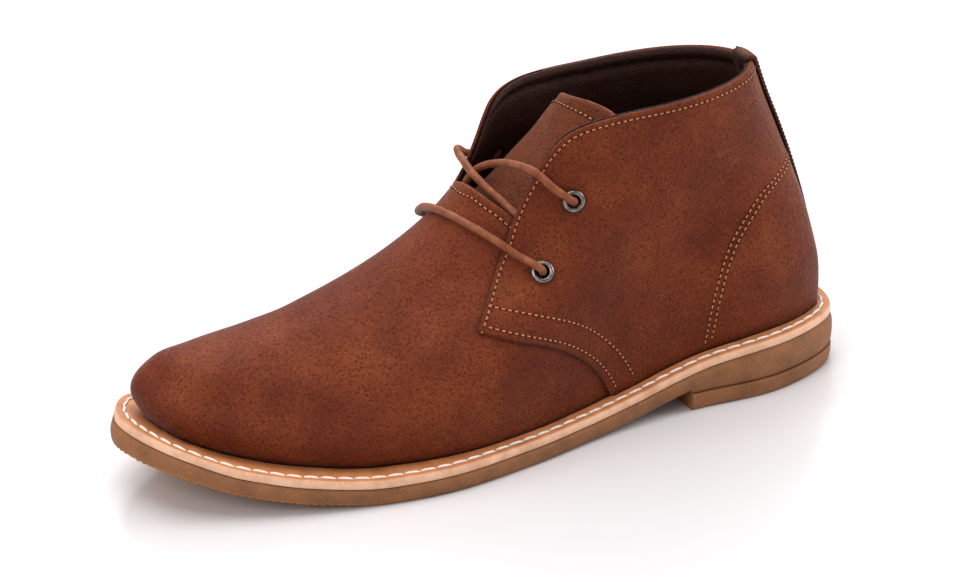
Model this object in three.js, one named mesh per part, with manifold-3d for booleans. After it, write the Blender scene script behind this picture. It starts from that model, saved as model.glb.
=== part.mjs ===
// Chukka boot for the left foot, empty and standing on its sole.
// Millimetres, +Z up, toe towards -Y, the outer side of the foot towards +X.
// The form is worked out with "along", the distance from the back of the heel towards the toe.
import * as THREE from "three";
import { mergeVertices } from "three/addons/utils/BufferGeometryUtils.js";
import Module from "manifold-3d";

const wasm = await Module();
wasm.setup();

// Driving sizes of the sole
const soleLength = 300;
const heelWidth = 71;
const waistWidth = 71;
const ballWidth = 104;
const outsoleThickness = 7;
const toeThickening = 1.2; // the outsole is thicker by this much at the tip
const weltThickness = 3.7;
const heelRise = 13.4; // heel seat above the forefoot
const toeSpring = 20; // tip of the toe above the forefoot
const toeLean = 0.3; // at the tip the side of the sole leans back by this much for each mm up
const leanDepth = 8; // below the sole's top, where the leaning side keeps its place
const liftHeight = 8; // heel lift with its neck
const heelLength = 75.5; // back of the heel to the breast
const grooveHeight = 1.3; // dark line between outsole and heel lift
const grooveDepth = 1.9;

// Driving sizes of the upper
const collarHeight = 132; // top line at the back, above the floor
const instepHeight = 101; // ridge of the instep at the throat, above the floor
const toeWall = 25; // height of the toe above the welt
const ankleWidth = 62;
const sideMargin = 8.6; // welt that shows beside the upper
const toeMargin = 11.2;
const heelMargin = 6.5;
const upperWall = 2.2; // vamp leather with its lining
const quarterLeather = 1.3; // the quarters lie over the vamp by this much
const insoleThickness = 3;
const tongueThickness = 2.4;
const tongueWidth = 50; // across the throat
const throatSkew = 0.11; // the inner quarter reaches further forward than the outer one
const gap = 0.3; // between pieces that meet

// Driving sizes of the fittings
const eyeletRadius = 4.4;
const eyeletHoleRadius = 2.35;
const eyeletFlange = 0.9;
const barrelWall = 0.45;
const laceDiameter = 3.5;
const stripWidth = 13;
const stripThickness = 1.5;
const stripTurnIn = 11; // back strip folded over the collar

// Fineness of the faceted surfaces: points for each span of the outline, rings for each level
const OUTER = { spanSteps: 3, levelSteps: 2 };
const INNER = { spanSteps: 2, levelSteps: 1 };

const lerp = (a, b, t) => a + (b - a) * t;
const clamp01 = (t) => Math.min(1, Math.max(0, t));
const ease = (a, b, x) => {
  const t = clamp01((x - a) / (b - a));
  return t * t * (3 - 2 * t);
};

// A smooth value between table rows, read at x from the column "key".
function column(rows, at, key, x) {
  const n = rows.length;
  if (x <= rows[0][at]) return rows[0][key];
  if (x >= rows[n - 1][at]) return rows[n - 1][key];
  let i = 0;
  while (rows[i + 1][at] < x) i++;
  const slope = (a, b) => (rows[b][key] - rows[a][key]) / (rows[b][at] - rows[a][at]);
  const tangent = (j) => {
    if (j === 0 || j === n - 1) return 0;
    const before = slope(j - 1, j);
    const after = slope(j, j + 1);
    return before * after <= 0 ? 0 : (2 * before * after) / (before + after);
  };
  const h = rows[i + 1][at] - rows[i][at];
  const t = (x - rows[i][at]) / h;
  const [m0, m1] = [tangent(i) * h, tangent(i + 1) * h];
  const [p0, p1] = [rows[i][key], rows[i + 1][key]];
  return (2 * p0 - 2 * p1 + m0 + m1) * t ** 3 + (3 * p1 - 3 * p0 - 2 * m0 - m1) * t * t + m0 * t + p0;
}

// Outline of the sole from above: half widths as shares of the width that each row follows.
const OUTLINE = [
  { along: 0.012, width: heelWidth, outer: 0.235, inner: 0.24 },
  { along: 0.045, width: heelWidth, outer: 0.37, inner: 0.37 },
  { along: 0.13, width: heelWidth, outer: 0.505, inner: 0.485 },
  { along: 0.25, width: heelWidth, outer: 0.5, inner: 0.46 },
  { along: 0.38, width: waistWidth, outer: 0.56, inner: 0.44 },
  { along: 0.5, width: ballWidth, outer: 0.468, inner: 0.345 },
  { along: 0.62, width: ballWidth, outer: 0.525, inner: 0.43 },
  { along: 0.72, width: ballWidth, outer: 0.495, inner: 0.48 },
  { along: 0.82, width: ballWidth, outer: 0.418, inner: 0.472 },
  { along: 0.91, width: ballWidth, outer: 0.303, inner: 0.41 },
  { along: 0.97, width: ballWidth, outer: 0.163, inner: 0.32 },
];
const toeTip = { along: 1, x: -0.13 * ballWidth };
const SPANS = 2 * (OUTLINE.length + 1);

// Top of the welt, seen from the side: shares of the heel's rise and of the toe spring.
const SOLE_LINE = [
  { along: 0, heel: 1, toe: 0 },
  { along: 0.13, heel: 0.99, toe: 0 },
  { along: 0.2, heel: 0.86, toe: 0 },
  { along: 0.27, heel: 0.57, toe: 0 },
  { along: 0.34, heel: 0.24, toe: 0 },
  { along: 0.41, heel: 0.05, toe: 0 },
  { along: 0.5, heel: 0, toe: 0 },
  { along: 0.7, heel: 0, toe: 0 },
  { along: 0.8, heel: 0, toe: 0.17 },
  { along: 0.88, heel: 0, toe: 0.44 },
  { along: 1, heel: 0, toe: 1 },
];

// Levels of the upper, a row for each from the welt to above the collar. back and front are shares
// of the sole's length, backHeight of the collar's height, frontHeight of the instep's and rise of
// the toe wall. follow says how far a level follows the sole line.
const LEVEL_ENDS = [
  { back: 0.02, backHeight: 0.2, front: 0.958, frontHeight: 0.28, rise: 0.0, follow: 1 },
  { back: 0.019, backHeight: 0.26, front: 0.981, frontHeight: 0.37, rise: 0.42, follow: 1 },
  { back: 0.02, backHeight: 0.35, front: 0.942, frontHeight: 0.46, rise: 0.83, follow: 0.97 },
  { back: 0.026, backHeight: 0.45, front: 0.927, frontHeight: 0.55, rise: 1.13, follow: 0.8 },
  { back: 0.034, backHeight: 0.54, front: 0.835, frontHeight: 0.588, rise: 1.44, follow: 0.45 },
  { back: 0.046, backHeight: 0.63, front: 0.74, frontHeight: 0.635, rise: 1.7, follow: 0.2 },
  { back: 0.06, backHeight: 0.72, front: 0.648, frontHeight: 0.712, rise: 2.0, follow: 0.08 },
  { back: 0.074, backHeight: 0.8, front: 0.567, frontHeight: 0.83, rise: 2.4, follow: 0 },
  { back: 0.087, backHeight: 0.875, front: 0.515, frontHeight: 0.96, rise: 3, follow: 0 },
  { back: 0.098, backHeight: 0.95, front: 0.49, frontHeight: 1.12, rise: 3, follow: 0 },
  { back: 0.108, backHeight: 1.03, front: 0.475, frontHeight: 1.28, rise: 3, follow: 0 },
  { back: 0.118, backHeight: 1.12, front: 0.46, frontHeight: 1.45, rise: 3, follow: 0 },
];
// mid and fore widen or narrow the welt line at each level. morph turns it into the ankle's oval,
// whose width and sway are shares of the ankle's width and whose front end grows blunt.
const LEVEL_WIDTHS = [
  { mid: 1, fore: 0.912, morph: 0, width: 1.1, sway: 0, blunt: 2.2 },
  { mid: 1.08, fore: 1.045, morph: 0, width: 1.1, sway: 0, blunt: 2.2 },
  { mid: 1.1, fore: 0.95, morph: 0, width: 1.1, sway: 0, blunt: 2.2 },
  { mid: 1.07, fore: 0.83, morph: 0.03, width: 1.1, sway: -0.02, blunt: 2.2 },
  { mid: 1.03, fore: 0.71, morph: 0.14, width: 1.1, sway: -0.05, blunt: 2.1 },
  { mid: 0.98, fore: 0.59, morph: 0.36, width: 1.1, sway: -0.06, blunt: 2.05 },
  { mid: 0.94, fore: 0.54, morph: 0.65, width: 1.08, sway: -0.06, blunt: 2 },
  { mid: 0.9, fore: 0.54, morph: 0.9, width: 1.06, sway: -0.04, blunt: 2.15 },
  { mid: 0.9, fore: 0.7, morph: 1, width: 1.02, sway: -0.03, blunt: 2.7 },
  { mid: 0.9, fore: 0.7, morph: 1, width: 0.99, sway: -0.02, blunt: 3.4 },
  { mid: 0.9, fore: 0.7, morph: 1, width: 0.98, sway: -0.02, blunt: 3.8 },
  { mid: 0.9, fore: 0.7, morph: 1, width: 0.97, sway: -0.02, blunt: 4 },
];
const LEVELS = LEVEL_ENDS.map((row, i) => ({ ...row, ...LEVEL_WIDTHS[i] }));
const LEVEL_KEYS = Object.keys(LEVELS[0]);

// Height of the top of the welt above the floor.
const stack = outsoleThickness + gap + weltThickness;
function soleTop(along) {
  const share = clamp01(along / soleLength);
  const heel = column(SOLE_LINE, "along", "heel", share);
  const toe = column(SOLE_LINE, "along", "toe", share);
  return stack + heelRise * heel + toeSpring * toe;
}

// The closed outline of the sole: heel, outer side, toe tip, inner side.
const outlineCurve = new THREE.CatmullRomCurve3(
  [
    new THREE.Vector3(0, 0, 0),
    ...OUTLINE.map((r) => new THREE.Vector3(r.outer * r.width, r.along * soleLength, 0)),
    new THREE.Vector3(toeTip.x, toeTip.along * soleLength, 0),
    ...OUTLINE.map((r) => new THREE.Vector3(-r.inner * r.width, r.along * soleLength, 0)).reverse(),
  ],
  true,
  "centripetal",
);

// A point of the outline at u, from 0 to SPANS, moved inwards by "inset".
function outlineAt(u, inset = 0) {
  const t = (((u / SPANS) % 1) + 1) % 1;
  const p = outlineCurve.getPoint(t);
  const d = outlineCurve.getTangent(t);
  return { x: p.x - d.y * inset, along: p.y + d.x * inset };
}

function marginAt(share) {
  const behind = lerp(heelMargin, sideMargin, ease(0, 0.15, share));
  return lerp(behind, toeMargin, ease(0.8, 1, share));
}

// One row of the levels table at v, from 0 to LEVELS.length - 1, as a cubic B-spline through the rows.
function levelAt(v) {
  const last = LEVELS.length - 1;
  const i = Math.min(last - 1, Math.floor(v));
  const t = v - i;
  const row = (j, key) => {
    if (j < 0) return 2 * LEVELS[0][key] - LEVELS[1][key];
    if (j > last) return 2 * LEVELS[last][key] - LEVELS[last - 1][key];
    return LEVELS[j][key];
  };
  const weights = [(1 - t) ** 3, 3 * t ** 3 - 6 * t * t + 4, -3 * t ** 3 + 3 * t * t + 3 * t + 1, t ** 3];
  const mixed = {};
  for (const key of LEVEL_KEYS) {
    mixed[key] = weights.reduce((sum, w, k) => sum + (w / 6) * row(i - 1 + k, key), 0);
  }
  return mixed;
}

// A point of the lasted form: u goes round the foot, v goes up from the welt.
function lastedPoint(u, v) {
  const level = levelAt(v);
  const edge = outlineAt(u);
  const share = clamp01(edge.along / soleLength);
  const welt = outlineAt(u, marginAt(share));
  const along = lerp(level.back, level.front, share) * soleLength;
  const free = lerp(level.backHeight * collarHeight, level.frontHeight * instepHeight, share);
  const height = lerp(free, soleTop(along) + gap + level.rise * toeWall, level.follow);
  const spread = lerp(level.mid, level.fore, ease(0.5, 0.88, share));
  const side = u % SPANS < SPANS / 2 ? 1 : -1;
  const power = share < 0.5 ? 2.4 : level.blunt;
  const oval = Math.sqrt(Math.max(0, 1 - Math.abs(2 * share - 1) ** power));
  const ankle = ankleWidth * (level.sway + (side * level.width * oval) / 2);
  return new THREE.Vector3(lerp(welt.x * spread, ankle, level.morph), -along, height);
}

// The same point moved outwards along the surface's normal.
const NUDGE = 0.02;
function upperPoint(u, v, offset) {
  const p = lastedPoint(u, v);
  const du = lastedPoint(u + NUDGE, v).sub(lastedPoint(u - NUDGE, v));
  const top = LEVELS.length - 1;
  const dv = lastedPoint(u, Math.min(top, v + NUDGE)).sub(lastedPoint(u, Math.max(0, v - NUDGE)));
  return p.addScaledVector(du.cross(dv).normalize(), -offset);
}

// A closed surface becomes a solid, with its faces turned outwards.
function solidFrom(positions, triangles) {
  const geometry = new THREE.BufferGeometry();
  geometry.setAttribute("position", new THREE.Float32BufferAttribute(positions, 3));
  geometry.setIndex(triangles);
  return solidOf(geometry);
}

function solidOf(geometry) {
  const bare = geometry.clone();
  bare.deleteAttribute("normal");
  bare.deleteAttribute("uv");
  const merged = mergeVertices(bare, 1e-4);
  const mesh = new wasm.Mesh({
    numProp: 3,
    vertProperties: merged.attributes.position.array,
    triVerts: new Uint32Array(merged.index.array),
  });
  const made = new wasm.Manifold(mesh);
  if (made.volume() >= 0) return made;
  for (let i = 0; i < mesh.triVerts.length; i += 3) {
    [mesh.triVerts[i + 1], mesh.triVerts[i + 2]] = [mesh.triVerts[i + 2], mesh.triVerts[i + 1]];
  }
  return new wasm.Manifold(mesh);
}

// Rings of the outline, from the lowest to the highest, each with as many points: point 0 is the
// back of the heel, and the lids are strips from side to side, so that they follow the sole line.
function ringSolid(rings) {
  const n = rings[0].length;
  const positions = rings.flat().flatMap((p) => [p.x, p.y, p.z]);
  const triangles = [];
  for (let r = 0; r < rings.length - 1; r++) {
    for (let i = 0; i < n; i++) {
      const [a, b] = [r * n + i, r * n + ((i + 1) % n)];
      triangles.push(a, b, b + n, a, b + n, a + n);
    }
  }
  const lid = (base, flip) => {
    for (let i = 0; i < n / 2; i++) {
      const [a, b] = [base + i, base + i + 1];
      const [c, d] = [base + ((n - i) % n), base + n - i - 1];
      const face = (p, q, r) => triangles.push(...(flip ? [p, r, q] : [p, q, r]));
      if (i > 0) face(a, c, b);
      if (i < n / 2 - 1) face(b, c, d);
    }
  };
  lid(0, false);
  lid((rings.length - 1) * n, true);
  return solidFrom(positions, triangles);
}

const ring = (pointAt, steps = OUTER.spanSteps) =>
  Array.from({ length: SPANS * steps }, (_, i) => pointAt(i / steps));

// A ring of the sole: the outline moved inwards, at the height given for each place along it. The
// toe is turned up, and so the side leans back there.
const soleRing = (inset, heightAt) =>
  ring((u) => {
    const p = outlineAt(u, inset);
    const below = soleTop(p.along) - heightAt(Math.max(0, p.along));
    const lean = toeLean * ease(0.72, 1, p.along / soleLength);
    const along = p.along + lean * (below - leanDepth);
    return new THREE.Vector3(p.x, -along, heightAt(Math.max(0, along)));
  });

// A prism: an outline in a plane, extruded both ways along "direction".
function prism(points, direction, half = 160) {
  const normal = direction.clone().normalize();
  const across = new THREE.Vector3(0, 0, 1).cross(normal).normalize();
  const upward = normal.clone().cross(across);
  const flat = points.map((p) => new THREE.Vector2(p.dot(across), p.dot(upward)));
  const shape = new THREE.Shape(flat);
  const geometry = new THREE.ExtrudeGeometry(shape, { depth: 2 * half, bevelEnabled: false });
  geometry.translate(0, 0, -half);
  geometry.applyMatrix4(new THREE.Matrix4().makeBasis(across, upward, normal));
  return solidOf(geometry);
}

function box(low, high) {
  const size = high.clone().sub(low);
  const geometry = new THREE.BoxGeometry(size.x, size.y, size.z);
  geometry.translate(...low.clone().add(high).multiplyScalar(0.5).toArray());
  return solidOf(geometry);
}

const FAR = 400;
const point = (x, along, z) => new THREE.Vector3(x, -along, z);

// Welt: the stitched edge that shows between upper and outsole, a plate of the sole's outline.
const welt = ringSolid([
  soleRing(0.5, (s) => soleTop(s) - weltThickness),
  soleRing(0, (s) => soleTop(s) - weltThickness + 0.6),
  soleRing(0, (s) => soleTop(s) - 0.7),
  soleRing(0.7, soleTop),
]);

// Outsole: one rubber unit. Its side bulges a little and rounds under, and behind the breast its
// heel seat reaches down to the heel lift. The seat ends just inside the body, so that they join.
const OUTSOLE_SIDE = [
  { share: 0, inset: 1.7 },
  { share: 0.16, inset: 0.4 },
  { share: 0.45, inset: -0.3 },
  { share: 0.85, inset: -0.2 },
  { share: 1, inset: 0.5 },
];
const outsoleTop = (s) => soleTop(s) - weltThickness - gap;
const toeShare = (s) => column(SOLE_LINE, "along", "toe", s / soleLength);
const outsoleDepth = (s) => outsoleThickness + toeThickening * toeShare(s);
const soleBody = ringSolid(
  OUTSOLE_SIDE.map((r) => soleRing(r.inset, (s) => outsoleTop(s) - outsoleDepth(s) * (1 - r.share))),
);
const HEEL_SIDE = [
  { share: 0, inset: 1.2 },
  { share: 0.12, inset: 0.3 },
  { share: 0.5, inset: -0.8 },
  { share: 0.8, inset: -0.5 },
  { share: 1, inset: 0.6 },
];
const seatBottom = liftHeight + gap;
const heelCut = (backAlong) => box(point(-FAR, backAlong, -FAR), point(FAR, -FAR, FAR));
const heelSeat = ringSolid(
  HEEL_SIDE.map((r) => soleRing(r.inset, (s) => lerp(seatBottom, outsoleTop(s) - 0.02, r.share))),
).intersect(heelCut(heelLength));
const outsole = soleBody.add(heelSeat);

// Heel lift: the block that meets the floor, with a neck that leaves the groove.
const LIFT_SIDE = [
  { share: 0, inset: 2.2 },
  { share: 0.12, inset: 1.1 },
  { share: 0.5, inset: 0.3 },
  { share: 1, inset: 0.2 },
];
const liftBody = liftHeight - grooveHeight;
const heelLift = ringSolid([
  ...LIFT_SIDE.map((r) => soleRing(r.inset, () => liftBody * r.share)),
  soleRing(grooveDepth, () => liftBody + 0.05),
  soleRing(grooveDepth, () => liftHeight),
]).intersect(heelCut(heelLength));

// The lasted form at an offset from the vamp's outer face, with its lowest ring moved down by "drop".
const TOP_LEVEL = LEVELS.length - 1;
function lastedForm(offset, drop = 0, { spanSteps, levelSteps } = OUTER) {
  const rings = [];
  const count = TOP_LEVEL * levelSteps;
  for (let k = 0; k <= count; k++) {
    rings.push(ring((u) => upperPoint(u, (k * TOP_LEVEL) / count, offset), spanSteps));
  }
  for (const p of rings[0]) p.z = soleTop(-p.y) + gap;
  if (drop > 0) rings.unshift(rings[0].map((p) => p.clone().setZ(p.z - drop)));
  return ringSolid(rings);
}

// A smooth line through the rows of a side-view table, as shares of the sole's length and of the
// collar's height.
function sideLine(rows, steps) {
  const flat = rows.map((r) => new THREE.Vector2(r.along * soleLength, r.height * collarHeight));
  return new THREE.SplineCurve(flat).getPoints(steps).map((p) => point(0, p.x, p.y));
}
const across = new THREE.Vector3(1, throatSkew, 0).normalize();

// Top line of the boot: along the collar, round the corner of the quarter and down its front edge.
const COLLAR_LINE = [
  { along: -0.1, height: 1 },
  { along: 0.1, height: 0.997 },
  { along: 0.25, height: 0.987 },
  { along: 0.34, height: 0.983 },
  { along: 0.387, height: 0.972 },
  { along: 0.417, height: 0.947 },
  { along: 0.439, height: 0.897 },
  { along: 0.458, height: 0.827 },
  { along: 0.489, height: 0.7 },
];
const FRONT_EDGE = [
  { along: 0.489, height: 0.7 },
  { along: 0.513, height: 0.625 },
  { along: 0.54, height: 0.525 },
  { along: 0.566, height: 0.44 },
];
// Lower edge of the quarter: the wing that sweeps down to the welt over the vamp.
const WING_EDGE = [
  { along: 0.566, height: 0.44 },
  { along: 0.515, height: 0.387 },
  { along: 0.463, height: 0.328 },
  { along: 0.42, height: 0.255 },
  { along: 0.392, height: 0.175 },
  { along: 0.37, height: 0.08 },
];
const wingEnd = WING_EDGE[WING_EDGE.length - 1].along * soleLength;
const behindHeel = -0.2 * soleLength;
// Top edge of the vamp, where the tongue comes out.
const VAMP_TOP = [
  { along: 0.489, height: 0.7 },
  { along: 0.505, height: 0.735 },
  { along: 0.519, height: 0.748 },
  { along: 0.535, height: 0.8 },
];

const opening = prism(
  [
    ...sideLine(COLLAR_LINE, 30),
    ...sideLine(VAMP_TOP, 6).slice(1),
    point(0, FAR, FAR),
    point(0, -0.1 * soleLength, FAR),
  ],
  across,
);
const quarterZone = prism(
  [
    ...sideLine(FRONT_EDGE, 8),
    ...sideLine(WING_EDGE, 16).slice(1),
    point(0, wingEnd, -FAR),
    point(0, behindHeel, -FAR),
    point(0, behindHeel, FAR),
    point(0, COLLAR_LINE[6].along * soleLength, FAR),
  ],
  across,
);

// The place on one side of the upper at a distance along and a height, on the face at "offset".
function placeOn(side, along, z, offset) {
  let [u, v] = [side > 0 ? 6 : SPANS - 6, 6];
  const miss = (a, b) => {
    const p = upperPoint(a, b, offset);
    return [-p.y - along, p.z - z];
  };
  for (let i = 0; i < 12; i++) {
    const [m0, m1] = miss(u, v);
    const [a0, a1] = miss(u + 0.01, v);
    const [b0, b1] = miss(u, v + 0.01);
    const [j00, j01] = [(a0 - m0) / 0.01, (b0 - m0) / 0.01];
    const [j10, j11] = [(a1 - m1) / 0.01, (b1 - m1) / 0.01];
    const d = j00 * j11 - j01 * j10;
    u -= (m0 * j11 - m1 * j01) / d;
    v -= (m1 * j00 - m0 * j10) / d;
  }
  const at = upperPoint(u, v, offset);
  return { at, normal: upperPoint(u, v, offset + 1).sub(at).normalize() };
}

// Upper: vamp and quarters, one hollow wall. The quarters are a step outwards in the same wall, and
// the form inside reaches through the bottom, which the sole closes.
const inside = lastedForm(-upperWall, 6, INNER);
const outsideForm = lastedForm(0).add(lastedForm(quarterLeather).intersect(quarterZone));
const skewed = (side, along) => along - side * throatSkew * (ankleWidth / 2);
const EYELETS = [
  { name: "upper", along: 0.4147, height: 0.748 },
  { name: "lower", along: 0.4697, height: 0.564 },
];
const eyelets = [1, -1].flatMap((side) =>
  EYELETS.map((row) => ({
    name: `eyelet_${side > 0 ? "outer" : "inner"}_${row.name}`,
    ...placeOn(side, skewed(side, row.along * soleLength), row.height * collarHeight, quarterLeather),
  })),
);
function alongAxis(geometry, at, normal) {
  geometry.rotateX(Math.PI / 2);
  const turn = new THREE.Quaternion().setFromUnitVectors(new THREE.Vector3(0, 0, 1), normal);
  geometry.applyQuaternion(turn);
  geometry.translate(at.x, at.y, at.z);
  return geometry;
}
let upper = outsideForm.subtract(inside).subtract(opening);
const barrelRadius = eyeletHoleRadius + barrelWall;
for (const e of eyelets) {
  const drill = new THREE.CylinderGeometry(barrelRadius + gap, barrelRadius + gap, 12, 20);
  upper = upper.subtract(solidOf(alongAxis(drill, e.at, e.normal)));
}

// Tongue: a curved sheet that runs up from under the vamp, trimmed clear of the wall round it.
// droop is how far its long edges lie below its middle, as a share of its half width.
const TONGUE = [
  { along: 0.62, height: 0.558, half: 0.34, droop: 0.3, middle: -0.03 },
  { along: 0.573, height: 0.6135, half: 0.4, droop: 0.37, middle: -0.025 },
  { along: 0.5315, height: 0.659, half: 0.46, droop: 0.44, middle: -0.02 },
  { along: 0.4995, height: 0.693, half: 0.5, droop: 0.5, middle: -0.015 },
  { along: 0.464, height: 0.748, half: 0.52, droop: 0.48, middle: -0.012 },
  { along: 0.427, height: 0.8145, half: 0.52, droop: 0.45, middle: -0.01 },
  { along: 0.3905, height: 0.8805, half: 0.52, droop: 0.43, middle: -0.007 },
  { along: 0.371, height: 0.932, half: 0.5, droop: 0.43, middle: -0.005 },
  { along: 0.362, height: 0.961, half: 0.45, droop: 0.44, middle: -0.002 },
  { along: 0.3587, height: 0.9775, half: 0.31, droop: 0.45, middle: 0 },
];
const TONGUE_ACROSS = 10;
const TONGUE_UP = 16;
function tonguePoint(q, t, depth) {
  const place = t * (TONGUE.length - 1);
  const rows = TONGUE.map((r, i) => ({ ...r, i }));
  const value = (key, k) => column(rows, "i", key, k);
  const step = 0.2;
  const [low, high] = [Math.max(0, place - step), Math.min(TONGUE.length - 1, place + step)];
  const run = (value("along", high) - value("along", low)) * soleLength;
  const climb = (value("height", high) - value("height", low)) * collarHeight;
  const length = Math.hypot(run, climb);
  const half = value("half", place) * tongueWidth;
  const sag = value("droop", place) * half * q * q + depth;
  const ridgeX = value("middle", place) * ankleWidth;
  const middle = point(ridgeX, value("along", place) * soleLength, value("height", place) * collarHeight);
  const outward = point(0, climb / length, -run / length);
  const turned = middle.addScaledVector(outward, -sag);
  turned.x += half * q;
  turned.y += half * q * throatSkew;
  return turned;
}
// A sheet: pointAt gives its place from -1 to 1 across, 0 to 1 up and at a depth below its face.
function sheetSolid(pointAt, columns, rows, thickness) {
  const rings = [];
  for (let j = 0; j <= rows; j++) {
    const at = (i, depth) => pointAt((2 * i) / columns - 1, j / rows, depth);
    const face = (depth) => Array.from({ length: columns + 1 }, (_, i) => at(i, depth));
    rings.push([...face(0), ...face(thickness).reverse()]);
  }
  return ringSolid(rings);
}
const tongue = sheetSolid(tonguePoint, TONGUE_ACROSS, TONGUE_UP, tongueThickness).intersect(
  lastedForm(-upperWall - gap, 0, INNER),
);

// Insole: a thin board on the welt, inside the wall.
const insoleInset = 0.5; // room for the turned-in edge of the wall
const insoleEdge = ring((u) => upperPoint(u, 0, -upperWall - gap - insoleInset), INNER.spanSteps);
const insoleRing = (rise) => insoleEdge.map((p) => p.clone().setZ(soleTop(Math.max(0, -p.y)) + rise));
const insole = ringSolid([insoleRing(gap), insoleRing(gap + insoleThickness)]);

// Back strip: a leather strip over the back seam, folded over the collar.
const stripOuter = quarterLeather + gap + stripThickness;
const stripInner = -upperWall - gap - stripThickness;
const stripTop = collarHeight * COLLAR_LINE[1].height + gap;
const stripZone = box(point(-stripWidth / 2, 60, 0), point(stripWidth / 2, -10, stripTop + stripThickness));
const stripShell = lastedForm(stripOuter, 0).intersect(stripZone).subtract(lastedForm(stripInner, 10));
const slab = (low, high) => box(point(-FAR, FAR, low), point(FAR, -FAR, high));
const wallSpace = lastedForm(quarterLeather + gap, 10).intersect(slab(-FAR, stripTop));
const turnIn = lastedForm(-upperWall - gap, 10).intersect(slab(stripTop - stripTurnIn, FAR));
const backStrip = stripShell.subtract(wallSpace.subtract(turnIn));

// Eyelets: a flat ring on the quarter with a barrel through its wall.
const flangeLift = gap + 0.3; // the quarter curves away under the ring
const eyeletProfile = [
  [eyeletHoleRadius, -upperWall - quarterLeather],
  [barrelRadius, -upperWall - quarterLeather],
  [barrelRadius, flangeLift],
  [eyeletRadius, flangeLift],
  [eyeletRadius - 0.7, flangeLift + eyeletFlange],
  [eyeletHoleRadius + 0.5, flangeLift + eyeletFlange],
  [eyeletHoleRadius, flangeLift + 0.4],
  [eyeletHoleRadius, -upperWall - quarterLeather],
].map(([r, z]) => new THREE.Vector2(r, z));
const eyeletSolid = (e) => {
  const turned = new THREE.LatheGeometry(eyeletProfile, 16);
  return solidOf(alongAxis(turned, e.at, e.normal));
};

// Lace: a bar through the lower eyelets and one crossing, in solid cord.
const laceRadius = laceDiameter / 2;
function cordSolid(points) {
  const path = new THREE.CatmullRomCurve3(points, false, "centripetal");
  const steps = points.length * 2;
  const corners = Array.from({ length: 8 }, (_, i) => (i * Math.PI) / 4);
  const corner = (a) => new THREE.Vector2(laceRadius * Math.cos(a), laceRadius * Math.sin(a));
  const section = new THREE.Shape(corners.map(corner));
  return solidOf(new THREE.ExtrudeGeometry(section, { steps, extrudePath: path, bevelEnabled: false }));
}
const eyeletAt = (side, row) => eyelets[(side > 0 ? 0 : 2) + row];
const over = (e, lift) => e.at.clone().addScaledVector(e.normal, lift);
// The cord comes straight out of an eyelet and then bends over its ring.
const THREADED = [
  { lift: -1.5, aside: 0 },
  { lift: 0.6, aside: 0 },
  { lift: 2.6, aside: 0.5 },
  { lift: 3.9, aside: 2.4 },
  { lift: 3.7, aside: 5 },
];
function threaded(e, next) {
  const way = next.clone().sub(e.at).projectOnPlane(e.normal).normalize();
  return THREADED.map((r) => over(e, r.lift).addScaledVector(way, r.aside));
}
// Where a strand lies on a quarter: shares of the sole's length and of the collar's height, and the
// room left under it.
const BAR_ON_INNER = [
  { along: 0.528, height: 0.61, room: 1.1 },
  { along: 0.503, height: 0.576, room: 1.3 },
];
const UPPER_ON_INNER = [
  { along: 0.437, height: 0.754, room: 1.1 },
  { along: 0.457, height: 0.775, room: 1.1 },
];
const LOWER_ON_OUTER = [{ along: 0.437, height: 0.795, room: 1 }];
const onQuarter = (side, rows) =>
  rows.map((r) => {
    const spot = placeOn(side, skewed(side, r.along * soleLength), r.height * collarHeight, quarterLeather);
    return over(spot, laceRadius + r.room);
  });
// Where a strand runs free over vamp and tongue: x is a share of the ankle's width.
const BAR_FREE = [
  { x: 0.48, along: 0.4862, height: 0.618 },
  { x: 0.397, along: 0.5047, height: 0.6535 },
  { x: 0.282, along: 0.5232, height: 0.683 },
  { x: 0.103, along: 0.5407, height: 0.7015 },
  { x: -0.064, along: 0.5477, height: 0.698 },
  { x: -0.19, along: 0.5497, height: 0.686 },
  { x: -0.32, along: 0.5497, height: 0.666 },
];
const UPPER_FREE = [
  { x: -0.46, along: 0.4814, height: 0.7945 },
  { x: -0.395, along: 0.4857, height: 0.7911 },
  { x: -0.29, along: 0.4868, height: 0.7864 },
  { x: -0.15, along: 0.4882, height: 0.7782 },
  { x: -0.048, along: 0.4877, height: 0.763 },
  { x: 0.045, along: 0.4841, height: 0.7505 },
  { x: 0.158, along: 0.4777, height: 0.733 },
  { x: 0.239, along: 0.473, height: 0.7179 },
];
const LOWER_FREE = [
  { x: 0.422, along: 0.4494, height: 0.8495 },
  { x: 0.319, along: 0.4566, height: 0.8527 },
  { x: 0.177, along: 0.4605, height: 0.841 },
  { x: 0.073, along: 0.4623, height: 0.8274 },
  { x: -0.024, along: 0.4638, height: 0.8113 },
  { x: -0.129, along: 0.4715, height: 0.791 },
  { x: -0.21, along: 0.4808, height: 0.765 },
  { x: -0.262, along: 0.4865, height: 0.7303 },
  { x: -0.29, along: 0.4905, height: 0.6978 },
];
const free = (rows) =>
  rows.map((r) => point(r.x * ankleWidth, r.along * soleLength, r.height * collarHeight));

const barFree = free(BAR_FREE);
const barInner = onQuarter(-1, BAR_ON_INNER);
const bar = cordSolid([
  ...threaded(eyeletAt(1, 1), barFree[0]),
  ...barFree,
  ...barInner,
  ...threaded(eyeletAt(-1, 1), barInner[1]).reverse(),
]);
const upperOutside = onQuarter(-1, UPPER_ON_INNER);
const upperStrand = cordSolid([
  ...threaded(eyeletAt(-1, 0), upperOutside[0]),
  ...upperOutside,
  ...free(UPPER_FREE),
]);
const lowerOutside = onQuarter(1, LOWER_ON_OUTER);
const lowerStrand = cordSolid([
  ...threaded(eyeletAt(1, 0), lowerOutside[0]),
  ...lowerOutside,
  ...free(LOWER_FREE),
]);

// The boot, its pieces named, standing on the floor with the origin under its middle.
const boot = new THREE.Group();

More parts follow.
